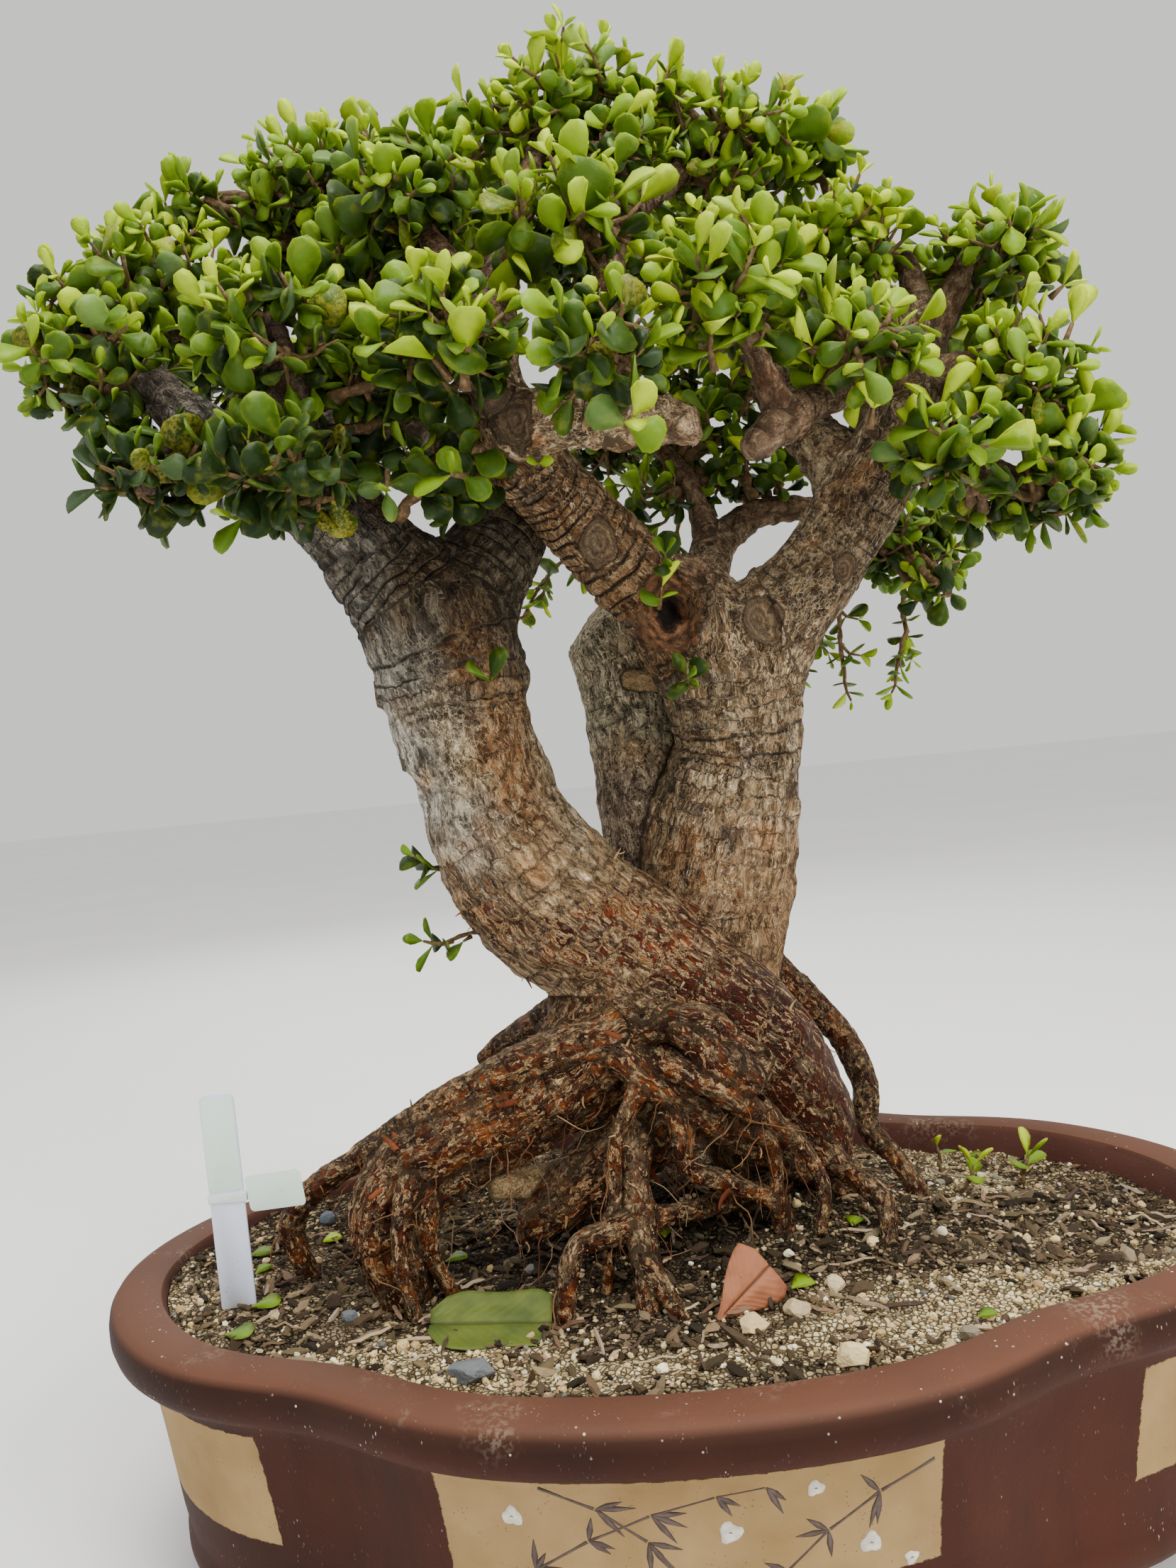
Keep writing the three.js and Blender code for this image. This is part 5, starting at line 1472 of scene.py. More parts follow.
class Foliage:
    """Twigs and leaves of one clump."""

    def __init__(self, seed):
        self.random = random.Random(seed)
        self.leaves = Heap()
        self.twigs = Heap()

    def any_way(self, spread=1.0):
        """A random vector, its parts spread so far about nought."""
        rng = self.random
        return Vector((rng.gauss(0, spread), rng.gauss(0, spread), rng.gauss(0, spread)))

    def leaf(self, base, direction, face, length, tone, young=0.0):
        """One leaf along `direction`, upper side towards `face`, unless it would stand in the wood."""
        rng = self.random
        points, triangles, edge, stalk = rng.choice(LEAVES) if length < 18 * MM else BROAD_LEAF
        x = Vector(direction).normalized()
        z = Vector(face) - x * x.dot(Vector(face))
        if z.length < 1e-6:
            z = x.orthogonal()
        z.normalize()
        y = z.cross(x)
        middle = Vector(base) + x * (0.6 * length)
        if inside_wood(middle, 2.0 * MM):
            return
        narrow = 1.0 - 0.3 * young
        wide = length * narrow * rng.uniform(0.88, 1.1)
        thick = length * rng.uniform(0.8, 1.2)
        turn = np.array([x * length, y * wide, z * thick])
        if rng.random() < 0.10:
            tone = tone + 0.22
        blush = rng.uniform(0.5, 1.0) if rng.random() < 0.08 * (1 - young) else 0.0
        waxy = rng.uniform(0.5, 1.0) if rng.random() < 0.07 and blush == 0 else 0.0
        self.leaves.add(points @ turn + np.array(base), triangles, edge=edge, stalk=stalk,
                        tone=min(max(tone, 0.0), 1.0), blush=blush, waxy=waxy)

    def spray(self, base, aim, length, size, tone, pairs=0):
        """A knuckled twig from `base` along `aim` with crossed pairs of leaves, the last ones young."""
        rng = self.random
        direction = Vector(aim).normalized()
        place = Vector(base)
        tip = place + direction * length
        pitch = size * rng.uniform(0.44, 0.60)
        pairs = pairs or max(2, min(5, round(length / pitch)))
        bare = max(0.0, length - pairs * pitch)
        side = direction.orthogonal()
        side.rotate(Matrix.Rotation(rng.uniform(0, TURN), 3, direction))
        route, radii = [place.copy()], [size * 0.11]
        if bare > 1 * MM:
            place = place + direction * bare
            route.append(place.copy())
            radii.append(size * 0.09)
        pitch = (length - bare) / pairs
        for k in range(pairs):
            share = (k + 1) / pairs
            towards = (tip - place).normalized() if (tip - place).length > 1 * MM else direction
            direction = (towards + self.any_way(0.10) + Vector((0, 0, 0.8 * (share - 0.5)))).normalized()
            place = place + direction * pitch
            radii.append(size * (0.10 - 0.05 * share))
            route.append(place.copy())
            side = (side - direction * side.dot(direction)).normalized()
            last = k == pairs - 1
            fresh = last or (k == pairs - 2 and pairs > 2)
            young = 1.0 if last else 0.5 if fresh else 0.0
            open_angle = math.radians(rng.gauss(34, 9) if last else rng.gauss(62 if fresh else 74, 9))
            grown = size * (rng.uniform(0.55, 0.85) if last and pairs > 2 else rng.uniform(0.85, 1.15))
            if k == 0 and pairs > 2:
                grown *= 0.85
            for way in (-1, 1):
                if rng.random() < 0.05:
                    continue
                out = side * way
                along = direction * math.cos(open_angle) + out * math.sin(open_angle) + self.any_way(0.08)
                face = direction * math.sin(open_angle) - out * math.cos(open_angle) + self.any_way(0.22)
                leaf_tone = tone + (0.18 + 0.34 * tone) * young + 0.10 * (share - 0.9) + rng.gauss(0, 0.08)
                self.leaf(place, along, face, grown * rng.lognormvariate(0, 0.12), leaf_tone, young)
            side = direction.cross(side).normalized()
        self.twig(route, radii, 4)

    def twig(self, route, radii, sides):
        add_tube(self.twigs, route, radii, sides, fresh=min(1.0, 2.0 * MM / max(radii[0], 1e-5)))

    def branchlet(self, start, end, thick, thin):
        """A gnarled branchlet with swollen nodes; returns its stations."""
        steps = max(4, round((end - start).length / (7 * MM)))
        route, radii = [], []
        sway = self.any_way(1.0).normalized() * (end - start).length * 0.10
        for k in range(steps + 1):
            t = k / steps
            jitter = self.any_way(0.7 * MM) if 0 < k < steps else Vector()
            route.append(start.lerp(end, t) + sway * math.sin(math.pi * t) + jitter)
            radii.append((thick + (thin - thick) * t) * (1.22 if k % 2 else 0.86))
        self.twig(route, radii, 6)
        return route

    def pieces(self, name, replaced=()):
        if self.leaves.count:
            settle(self.leaves.piece(f"leaves_{name}"), LEAF_PAINT, replaced)
        if self.twigs.count:
            settle(self.twigs.piece(f"twigs_{name}"), TWIG_PAINT)


def search_tree(pieces):
    """The faces of the pieces, ready to be searched for the nearest."""
    points, faces = [], []
    for piece in pieces:
        faces += [tuple(corner + len(points) for corner in face) for face in faces_of(piece)]
        points += [Vector(point) for point in points_of(piece)]
    return BVHTree.FromPolygons(points, faces)


def inside_wood(place, clearance):
    """True in the wood or closer to it than the clearance."""
    spot, normal, _, far = WOOD_TREE.find_nearest(place, 0.06)
    if spot is None:
        return False
    return far < clearance or ((place - spot).dot(normal) < 0 and far < 0.045)


def sphere_directions(count, shift):
    """Directions spread evenly over a sphere."""
    golden = math.pi * (3 - math.sqrt(5))
    for i in range(count):
        z = 1 - 2 * (i + 0.5) / count
        ring = math.sqrt(1 - z * z)
        yield Vector((ring * math.cos(golden * i + shift), ring * math.sin(golden * i + shift), z))


def deep_in_others(name, place):
    """True where a place lies well inside a neighbouring clump."""
    for other, (x, y, z, wide, deep, tall, _) in PADS.items():
        if other != name:
            away = Vector(((place.x / MM - x) / wide, (place.y / MM - y) / deep, (place.z / MM - z) / tall))
            if away.length < 0.62:
                return True
    return False


def make_pad(name, box, number, fullness, replaced=()):
    """A clump: branchlets from the wood to its middle, then sprays that fill a shell and the inside."""
    x, y, z, wide, deep, tall, bright = box
    centre = Vector((x, y, z)) * MM
    half = Vector((wide, deep, tall)) * MM
    foliage = Foliage(100 + number)
    rng = foliage.random
    joints = []
    shell = (wide * deep + wide * tall + deep * tall) / 3
    for aim in sphere_directions(max(6, round(shell / 230)), rng.uniform(0, TURN)):
        aim = (aim + foliage.any_way(0.3)).normalized()
        end = centre + Vector((aim.x * half.x, aim.y * half.y, aim.z * half.z)) * rng.uniform(0.34, 0.58)
        if inside_wood(end, 1 * MM):
            continue
        start = WOOD_TREE.find_nearest(end)[0]
        if (start - end).length > 60 * MM and joints:
            start = min(joints, key=lambda joint: (joint - end).length)
        joints += foliage.branchlet(start, end, 3.3 * MM, 2.1 * MM)[2:]
    joints = joints or [centre]
    size = LEAF_LENGTH * (1.10 if y < -60 else 1.0 if y < 50 else 0.96)
    for layer, count in enumerate((5.0, 1.5)):
        for aim in sphere_directions(round(shell / 240 * count * fullness), rng.uniform(0, TURN)):
            aim = (aim + foliage.any_way(0.12)).normalized()
            reach = rng.uniform(0.78, 1.07) if layer == 0 else rng.uniform(0.40, 0.66)
            tip = centre + Vector([aim[k] * (half[k] - 0.45 * size) * reach for k in range(3)])
            if deep_in_others(name, tip) and rng.random() < 0.8:
                continue
            base = min(joints, key=lambda joint: (joint - tip).length + 6 * MM * rng.random())
            length = (tip - base).length
            if length > 2.5 * size:
                middle = tip + (base - tip) * (2.2 * size / length)
                foliage.branchlet(base, middle, 1.8 * MM, 1.4 * MM)
                base, length = middle, 2.2 * size
            # Painted light and shade in the tone: lighter for sprays aimed upward, darker for the inner
            # layer, on top of the clump's brightness.
            tone = bright - 0.22 + 0.36 * (0.5 + 0.5 * aim.z) - 0.24 * layer + rng.gauss(0, 0.10)
            grown = size * min(rng.lognormvariate(0, 0.14), 1.3)
            foliage.spray(base, tip - base, max(length, 0.7 * size), grown, tone)
    foliage.pieces(name, replaced)


def make_special_shoots():
    """The big-leaved shoots in front, the hanging sprays behind, and the shoots on trunks and soil."""
    bold = Foliage(7)
    for place, aim, size, pairs, tone in BOLD_SHOOTS:
        aim = Vector(aim).normalized()
        base = Vector(place) * MM - aim * (size * 0.5 * pairs * MM)
        bold.spray(base, aim, size * 0.5 * pairs * MM, size * MM, tone, pairs)
    bold.pieces("bold_shoots")
    hanging = Foliage(8)
    for place, aim in HANGING:
        place = Vector(place) * MM
        aim = Vector(aim)
        for k in range(2):
            end = place + (aim + hanging.any_way(0.25)).normalized() * (22 * MM)
            route = hanging.branchlet(place, end, 1.5 * MM, 1.1 * MM)
            hanging.spray(end, end - route[-3] + aim * 4 * MM, 22 * MM, 12.5 * MM, 0.34, 3)
            side = (aim + hanging.any_way(0.6)).normalized()
            hanging.spray(route[len(route) // 2], side, 14 * MM, 12 * MM, 0.36, 2)
            place = end
    hanging.pieces("hanging_sprays")
    for name, (base, tip, pairs, length, tone) in SHOOTS.items():
        shoot = Foliage(len(name) + 20)
        base, tip = Vector(base) * MM, Vector(tip) * MM
        shoot.branchlet(base, tip, 1.3 * MM, 0.9 * MM)
        aim = tip - base
        shoot.spray(tip - aim.normalized() * 2 * MM, aim, pairs * 5 * MM, length * 1.15 * MM, tone, pairs)
        if pairs > 1 and not name.startswith("seedling"):
            side = aim.normalized() + Vector((0, -0.2, -0.8))
            shoot.spray(base.lerp(tip, 0.55), side, 5 * MM, length * 0.9 * MM, tone, 1)
        shoot.pieces(name, [name])
    shed = Foliage(9)
    for x, y, turn, length, tone in SHED_LEAVES:
        spot = Vector((x * MM, y * MM, soil_height(x * MM, y * MM) + 2.2 * MM))
        turn = math.radians(turn)
        aim = Vector((math.cos(turn), math.sin(turn), 0.08))
        shed.leaf(spot - aim * (0.5 * length * MM), aim, (0.1, -0.15, 1), length * MM, tone)
    shed.pieces("shed_leaves")


# ------------------------------------------------------------------ soil and what lies on it

def bell(x, y, middle_x, middle_y, wide, deep):
    """1 in the middle, falling off over the two widths."""
    return math.exp(-(((x - middle_x) / wide) ** 2) - ((y - middle_y) / deep) ** 2)


def soil_height(x, y):
    """The soil's surface: a mound under the trees that falls away to the back right."""
    x, y = x / MM, y / MM
    fall = min(max((0.6 * x + 0.8 * y - 10) / 180, 0), 1)
    height = 129.6 + 19 * math.exp(-((x - 30) ** 2) / (2 * 62 ** 2) - (y - 15) ** 2 / (2 * 52 ** 2))
    height += 1.2 * math.sin(x / 23) * math.cos(y / 19) - 11 * fall * fall * (3 - 2 * fall)
    height += 2.2 * noise.noise(Vector((x, y, 3)) / 13) + 1.2 * noise.noise(Vector((x, y, 9)) / 5)
    return height * MM


# Patches of grit: how much, then middle x and y, half width and half depth, in millimetres.
GRIT_PATCHES = [
    (1.0, -120, -116, 80, 26), (0.8, -20, -138, 60, 15), (1.1, 98, -112, 60, 30), (1.0, 175, -92, 60, 20),
    (0.6, 238, -50, 28, 34), (0.65, -232, -30, 30, 60), (0.3, 190, 80, 70, 40), (0.6, 140, 105, 50, 25),
    (0.45, -120, 110, 90, 40), (0.55, 150, 34, 70, 36),
]


def grit_share(x, y):
    """1 where pale grit covers the soil, 0 where it is dark bark crumbs."""
    x, y = x / MM, y / MM
    share = sum(weight * bell(x, y, *patch) for weight, *patch in GRIT_PATCHES)
    share += 0.25 * noise.noise(Vector((x, y, 1)) / 22)
    return min(max(share, 0.06), 1.0)


def damp(x, y):
    """1 where painted shadow darkens the soil and its crumbs under the roots."""
    return min(1.0, 1.6 * bell(x / MM, y / MM, -28, -20, 86, 42))


# The pot's inside, as (inset, height) in millimetres, that the soil fills.
SOIL_SIDE = [(27.2, None), (28.3, 121), (30.3, 106), (34.3, 70), (38.3, 40), (43.3, 26.3), (56, 22.6)]


def make_soil():
    """The soil from its uneven surface down the inside of the pot to the floor."""
    sides, rings = 330, 84
    angles = np.arange(sides) / sides * TURN
    edge = lobe_points(angles, SOIL_SIDE[0][0] * MM)
    points = [(0.0, 0.0, soil_height(0, 0))]
    for ring in range(1, rings + 1):
        for x, y in edge * (ring / rings) ** 0.93:
            points.append((x, y, soil_height(x, y)))
    points = np.array(points)
    rim = points[-sides:, 2].copy()
    rows = [points]
    for inset, height in SOIL_SIDE[1:]:
        level = np.minimum(rim - 2 * MM, height * MM) if height > 100 else np.full(sides, height * MM)
        rows.append(np.column_stack([lobe_points(angles, inset * MM), level]))
    rows.append(np.array([[0, 0, 22.6 * MM]]))
    faces = []
    total = rings + len(SOIL_SIDE) - 1
    for i in range(sides):
        j = (i + 1) % sides
        faces.append((0, 1 + i, 1 + j))
        for ring in range(total - 1):
            a, b = 1 + ring * sides, 1 + (ring + 1) * sides
            faces.append((a + i, b + i, b + j, a + j))
        a = 1 + (total - 1) * sides
        faces.append((a + j, a + i, 1 + total * sides))
    soil = mesh_piece("potting_soil", np.concatenate(rows), faces)
    spots = points_of(soil)
    put_attribute(soil, "grit", [grit_share(x, y) for x, y, _ in spots])
    # Painted shadow under the roots.
    put_attribute(soil, "damp", [damp(x, y) for x, y, _ in spots])
    settle(soil, soil_paint(), ["soil_mass"])


def crumb_shapes(stretch, roughness, count, seed, finer=False):
    """A few irregular lumps to copy."""
    shapes = []
    for k in range(count):
        lump = primitive(bpy.ops.mesh.primitive_ico_sphere_add, subdivisions=2 if finer else 1, radius=1.0)
        points = points_of(lump)
        faces = faces_of(lump)
        bpy.data.objects.remove(lump)
        points = points * (1 + roughness * lumps(points, 0.9, seed + 3.1 * k, 2))[:, None] * np.array(stretch)
        shapes.append((points, outward_triangles(points, faces)))
    return shapes


def turned(rng, tilt=1.0):
    """A random turn, as a 3 x 3 array; a small tilt keeps flat things lying down."""
    turn = Matrix.Rotation(rng.uniform(0, TURN), 3, "Z")
    angle = rng.gauss(0, 0.5) * tilt
    axis = Vector((rng.gauss(0, 1), rng.gauss(0, 1), 0.01)).normalized()
    return np.array(turn @ Matrix.Rotation(angle, 3, axis))


def soil_spot(rng, inset):
    """A random place on the soil, `inset` millimetres or more in from the rim's edge."""
    angle = rng.uniform(0, TURN)
    return lobe_points(np.array([angle]), inset * MM)[0] * math.sqrt(rng.random())


GRIT_TINTS = [
    (0.62, 0.47, 0.235), (0.52, 0.38, 0.18), (0.7, 0.57, 0.33), (0.76, 0.68, 0.5), (0.42, 0.29, 0.14),
    (0.5, 0.34, 0.19), (0.26, 0.24, 0.18), (0.13, 0.125, 0.11),
]
CRUMB_TINTS = [
    (0.038, 0.026, 0.015), (0.075, 0.052, 0.029), (0.13, 0.092, 0.052), (0.22, 0.162, 0.092),
    (0.024, 0.018, 0.012), (0.36, 0.27, 0.155),
]


# Pebbles at set places: x, y, size and colour.
PEBBLES = [
    (-188, 47, 5.5, (0.11, 0.14, 0.17)), (-150, -70, 4, (0.12, 0.13, 0.14)),
    (110, -130, 4.5, (0.20, 0.17, 0.12)), (66, -82, 5, (0.6, 0.48, 0.3)), (-70, 60, 6, (0.4, 0.36, 0.3)),
]
FIBRE_TINTS = [(0.12, 0.075, 0.045), (0.22, 0.15, 0.09), (0.35, 0.26, 0.17), (0.06, 0.04, 0.03)]


def make_loose_crumbs():
    """Grit, bark chips, slivers and pebbles strewn on the soil."""
    rng = random.Random(41)
    grains = crumb_shapes((1, 0.85, 0.75), 0.35, 5, 1.0)
    chips = crumb_shapes((1.75, 0.8, 0.42), 0.6, 6, 20.0)
    pebbles = crumb_shapes((1, 0.8, 0.7), 0.3, 3, 40.0, finer=True)
    grit, bark = Heap(), Heap()
    made = 0
    while made < GRAINS:
        x, y = soil_spot(rng, 28.5)
        if y > 0.02 and rng.random() < 0.45:
            continue
        made += 1
        share = grit_share(x, y)
        base = np.array([x, y, soil_height(x, y)])
        kind = rng.random()
        if kind < 0.12 + 0.80 * share:
            points, faces = rng.choice(grains)
            size = min(rng.lognormvariate(0.12, 0.32), 2.6) * MM
            tint = rng.choices(GRIT_TINTS, (5, 4, 5, 4, 3, 2, 1.5, 1))[0]
            if rng.random() < 0.02:
                points, faces = rng.choice(pebbles)
                size = rng.uniform(2.2, 3.4) * MM
            base[2] += size * rng.uniform(0.0, 0.5)
            grit.add(points @ turned(rng, 2.0).T * size + base, faces, tint=vary(tint, rng))
        else:
            points, faces = rng.choice(chips)
            size = min(rng.lognormvariate(0.55, 0.42), 5.0) * (1 - 0.4 * min(max(y / 0.08, 0), 1)) * MM
            base[2] += size * rng.uniform(0.05, 0.45)
            # Crumbs under the roots are darkened with painted shadow.
            tint = np.array(rng.choices(CRUMB_TINTS, (4, 5, 4, 2, 3, 1))[0]) * (1 - 0.68 * damp(x, y))
            bark.add(points @ turned(rng, 1.0).T * size + base, faces, tint=vary(tint, rng))
    for x, y, size, tint in PEBBLES:
        points, faces = rng.choice(pebbles)
        base = np.array([x * MM, y * MM, soil_height(x * MM, y * MM) + 0.4 * size * MM])
        grit.add(points @ turned(rng).T * size * MM + base, faces, tint=tint)
    settle(grit.piece("pale_grit"), CRUMB, smooth=False)
    for _ in range(FIBRES):
        x, y = soil_spot(rng, 40)
        turn, long = rng.uniform(0, TURN), rng.uniform(6, 22) * MM
        route = []
        for k in range(5):
            t = k / 4 - 0.5
            px, py = x + math.cos(turn) * long * t, y + math.sin(turn) * long * t + rng.gauss(0, 0.6) * MM
            route.append((px, py, soil_height(px, py) + 1.6 * MM + rng.uniform(0, 1.2) * MM))
        thick = rng.uniform(0.5, 1.3) * MM
        tint = vary(rng.choice(FIBRE_TINTS), rng)
        add_tube(bark, route, [thick * 0.6, thick, thick * 0.9, thick, thick * 0.5], 4, tint=tint)
    settle(bark.piece("bark_crumbs"), CRUMB, smooth=False)


def vary(tint, rng):
    """The colour a little lighter or darker, each part a little on its own."""
    factor = rng.uniform(0.75, 1.2)
    return tuple(part * factor * rng.uniform(0.94, 1.06) for part in tint)


def make_stones():
    """Stones with ground facets."""
    for name, (place, half, seed, tint) in STONES.items():
        stone = primitive(bpy.ops.mesh.primitive_ico_sphere_add, subdivisions=4, radius=1.0)
        stone.name = name + "_rough"
        points = points_of(stone)
        rng = random.Random(seed)
        for _ in range(15):
            face = np.array(any_direction(rng).normalized())
            points = points - np.outer(np.maximum(points @ face - rng.uniform(0.66, 0.88), 0), face)
        points = points * (1.12 + 0.05 * lumps(points, 0.35, seed, 3))[:, None]
        set_points(stone, points * np.array(half) * MM + np.array(place) * MM)
        put_attribute(stone, "tint", np.tile(tint, (len(points), 1)))
        settle(stone, CRUMB, [name])
        smooth_below(stone, 24)


ROOTLET_TINTS = [(0.12, 0.050, 0.020), (0.17, 0.080, 0.035), (0.07, 0.030, 0.014), (0.25, 0.15, 0.08)]
PEEL_TINTS = [(0.11, 0.027, 0.011), (0.16, 0.050, 0.020)]
FLAKE_TINTS = [(0.34, 0.215, 0.11), (0.24, 0.125, 0.055), (0.15, 0.062, 0.026)]


def make_root_debris(wood):
    """Fine rootlets under the swollen base, and curled flakes of bark on the roots."""
    rng = random.Random(77)
    places = points_of(wood)
    normals = np.array([tuple(vertex.normal) for vertex in wood.data.vertices])
    root, caudex = np.empty((2, len(places)), np.float32)
    wood.data.attributes["root"].data.foreach_get("value", root)
    wood.data.attributes["caudex"].data.foreach_get("value", caudex)
    fibre = Heap()
    hanging = (places[:, 2] < 0.235) & (places[:, 2] > 0.14) & (normals[:, 2] < 0.2) & (places[:, 1] < 0.02)
    add_rootlets(fibre, rng, places, np.flatnonzero(hanging & ((root > 0.5) | (caudex > 0.8))))
    flaky = np.flatnonzero((root > 0.5) | (caudex > 0.5))
    peeling = np.flatnonzero((root > 0.5) & (places[:, 2] > 0.16) & (normals[:, 1] < -0.3))
    add_flakes(fibre, rng, places, normals, flaky, peeling)
    settle(fibre.piece("rootlets_and_flakes"), CRUMB)


def add_rootlets(fibre, rng, places, low):
    """Thin roots that wander down to the soil and along it."""
    for _ in range(ROOTLETS):
        spot = Vector(places[rng.choice(low)])
        route = [spot]
        direction = Vector((rng.gauss(0, 0.6), rng.gauss(-0.2, 0.5), -0.6))
        floor = soil_height(spot.x, spot.y)
        for _ in range(7):
            sway = Vector((rng.gauss(0, 0.45), rng.gauss(0, 0.45), rng.gauss(-0.12, 0.25)))
            direction = (direction + sway).normalized()
            spot = spot + direction * rng.uniform(3, 6.5) * MM
            spot.z = max(spot.z, floor + 0.5 * MM)
            route.append(spot.copy())
        thick = rng.uniform(0.18, 0.5) * MM
        tint = vary(rng.choice(ROOTLET_TINTS), rng)
        add_tube(fibre, route, [thick * (1 - 0.08 * k) for k in range(8)], 4, tint=tint)


def add_flakes(fibre, rng, places, normals, flaky, peeling):
    """Curled strips of bark: a few large ones in front, many small ones all over."""
    strip = primitive(bpy.ops.mesh.primitive_grid_add, x_subdivisions=6, y_subdivisions=1, size=1.0)
    apply_modifier(strip, "thick", "SOLIDIFY", thickness=0.04)
    flat, strip_faces = points_of(strip), faces_of(strip)
    bpy.data.objects.remove(strip)
    strip_faces = outward_triangles(flat, strip_faces)
    for number in range(FLAKES):
        large = number < LARGE_FLAKES
        row = rng.choice(peeling if large else flaky)
        out = Vector(normals[row]).normalized()
        along = out.cross(any_direction(rng)).normalized()
        along = (along + out * (0 if large else rng.uniform(0, 0.3))).normalized()
        across = out.cross(along).normalized()
        spans = ((9, 17), (2.2, 4.2)) if large else ((2.5, 7), (0.6, 1.4))
        long, wide = (rng.uniform(*span) for span in spans)
        bend, twist = rng.uniform(0.5, 2.2) / long, rng.uniform(-1.2, 1.2)
        arc = (flat[:, 0] + 0.5) * long
        side = flat[:, 1] * wide * (1 - 0.7 * (flat[:, 0] + 0.5) ** 2)
        roll = twist * (flat[:, 0] + 0.5)
        up = flat[:, 2] * long
        c, s = np.cos(arc * bend), np.sin(arc * bend)
        shaped = np.column_stack([s / bend - s * up, side * np.cos(roll),
                                  (1 - c) / bend + c * up + side * np.sin(roll)]) * MM
        turn = np.array([tuple(along), tuple(across), tuple(out)])
        tint = vary(rng.choice(PEEL_TINTS if large else FLAKE_TINTS), rng)
        fibre.add(shaped @ turn + places[row] + normals[row] * 0.1 * MM, strip_faces, tint=tint)


def make_fallen_leaf(name, corners, width_at, sag, colours):
    """A broad leaf on the soil, from its stalk end to its tip, with its width along the way."""
    start, end, side = (Vector(corner) * MM for corner in corners)
    along = end - start
    across = side - start - along * ((side - start).dot(along) / along.length_squared)
    across.normalize()
    out = along.cross(across).normalized()
    grid = primitive(bpy.ops.mesh.primitive_grid_add, x_subdivisions=26, y_subdivisions=16, size=2.0)
    grid.name = name + "_blade"
    flat = points_of(grid)
    t, s = (flat[:, 0] + 1) / 2, flat[:, 1]
    stations = np.linspace(0, 1, len(width_at))
    right, left = (np.interp(t, stations, widths) for widths in zip(*width_at))
    reach = np.where(s > 0, left * s, right * s) * MM
    uneven = lumps(np.column_stack([t * 40, s * 18, 0 * t]), 16.0, 2.0, 2)
    lift = (sag * s * s + 1.1 * uneven - 0.9 * np.exp(-((s / 0.12) ** 2))) * MM
    shape = np.outer(t, along) + np.outer(reach, across) + np.outer(lift, out) + np.array(start)
    set_points(grid, shape)
    put_attribute(grid, "across", s)
    put_attribute(grid, "along", t)
    apply_modifier(grid, "thick", "SOLIDIFY", thickness=0.5 * MM, offset=0.0)
    settle(grid, broad_leaf_paint(*colours), [name])


# ------------------------------------------------------------------ plant tag

def card(name, outline, thickness, rounding):
    """A flat card from an outline of [x, z] in millimetres, upright in the XZ plane, with softened edges."""
    half = thickness / 2
    front = [(x, -half, z) for x, z in outline]
    back = [(x, half, z) for x, z in outline]
    count = len(outline)
    faces = [tuple(range(count)), tuple(reversed(range(count, 2 * count)))]
    faces += [(i, i + count, (i + 1) % count + count, (i + 1) % count) for i in range(count)]
    piece = mesh_piece(name, np.array(front + back) * MM, faces)
    only(piece)
    bpy.ops.object.mode_set(mode="EDIT")
    bpy.ops.mesh.select_all(action="SELECT")
    bpy.ops.mesh.normals_make_consistent(inside=False)
    bpy.ops.object.mode_set(mode="OBJECT")
    apply_modifier(piece, "soften", "BEVEL", width=rounding * MM, segments=2, limit_method="ANGLE",
                   angle_limit=math.radians(50))
    return piece


def rounded(left, bottom, right, top, radius):
    """The outline of a rectangle with rounded corners."""
    outline = []
    for x, z, start in ((right - radius, bottom + radius, -90), (right - radius, top - radius, 0),
                        (left + radius, top - radius, 90), (left + radius, bottom + radius, 180)):
        for k in range(5):
            turn = math.radians(start + 22.5 * k)
            outline.append((x + radius * math.cos(turn), z + radius * math.sin(turn)))
    return outline


def place_tag_piece(piece, shift=(0, 0, 0), turn=0.0, curl=0.0):
    """Turns a card about its own middle, bends it a little and moves it to its place in the pot."""
    points = points_of(piece) @ np.array(Matrix.Rotation(turn, 3, "Y")).T
    points[:, 1] += curl * (points[:, 0] - points[:, 0].min()) ** 2 / MM
    points = points + np.array(shift) * MM
    lean = np.array(Matrix.Rotation(math.radians(TAG["lean"]), 3, "Y"))
    set_points(piece, points @ lean.T + np.array(TAG["place"]) * MM)


def make_tag():
    """The plant tag: a stake with a paper label, and a paper flag taped to it, all without words."""
    half, height, tip, thick = TAG["width"] / 2, TAG["height"], TAG["tip"], TAG["thickness"]
    top = [point for point in rounded(-half, 0, half, height, 3.0) if point[1] > 20]
    outline = [(-half, tip), (-1.2, 0.6), (1.2, 0.6), (half, tip)] + top
    stake = card("tag_stake_sheet", outline, thick, 0.35)
    place_tag_piece(stake)
    plastic = plastic_paint("tag_plastic", (0.70, 0.76, 0.90), 0.35, 0.45)
    settle(stake, plastic, ["tag_stake"], smooth=False)
    label = card("tag_paper_label", rounded(-half + 0.5, 66.7, half - 0.5, 110.7, 2.2), 0.3, 0.1)
    place_tag_piece(label, (0, -thick / 2 - 0.2, 0))
    paper = plastic_paint("tag_paper", (0.70, 0.84, 0.74), 0.55, 0.0)
    settle(label, paper, ["tag_label"], smooth=False)
    flag = card("tag_paper_flag", rounded(-14, -8.5, 14, 8.5, 2.2), 0.3, 0.1)
    place_tag_piece(flag, (23.8, -0.5, 65.6), -0.1, -0.006)
    settle(flag, paper, ["tag_flag"], smooth=False)
    wrap = card("tag_tape_wrap", rounded(-half - 0.7, 61, half + 1.2, 65.6, 0.8), thick + 1.4, 0.4)
    place_tag_piece(wrap)
    settle(wrap, tape_paint(), ["tag_band"], smooth=False)
    for piece in (stake, label, flag, wrap):
        smooth_below(piece, 35)


# ------------------------------------------------------------------ painting on the front window

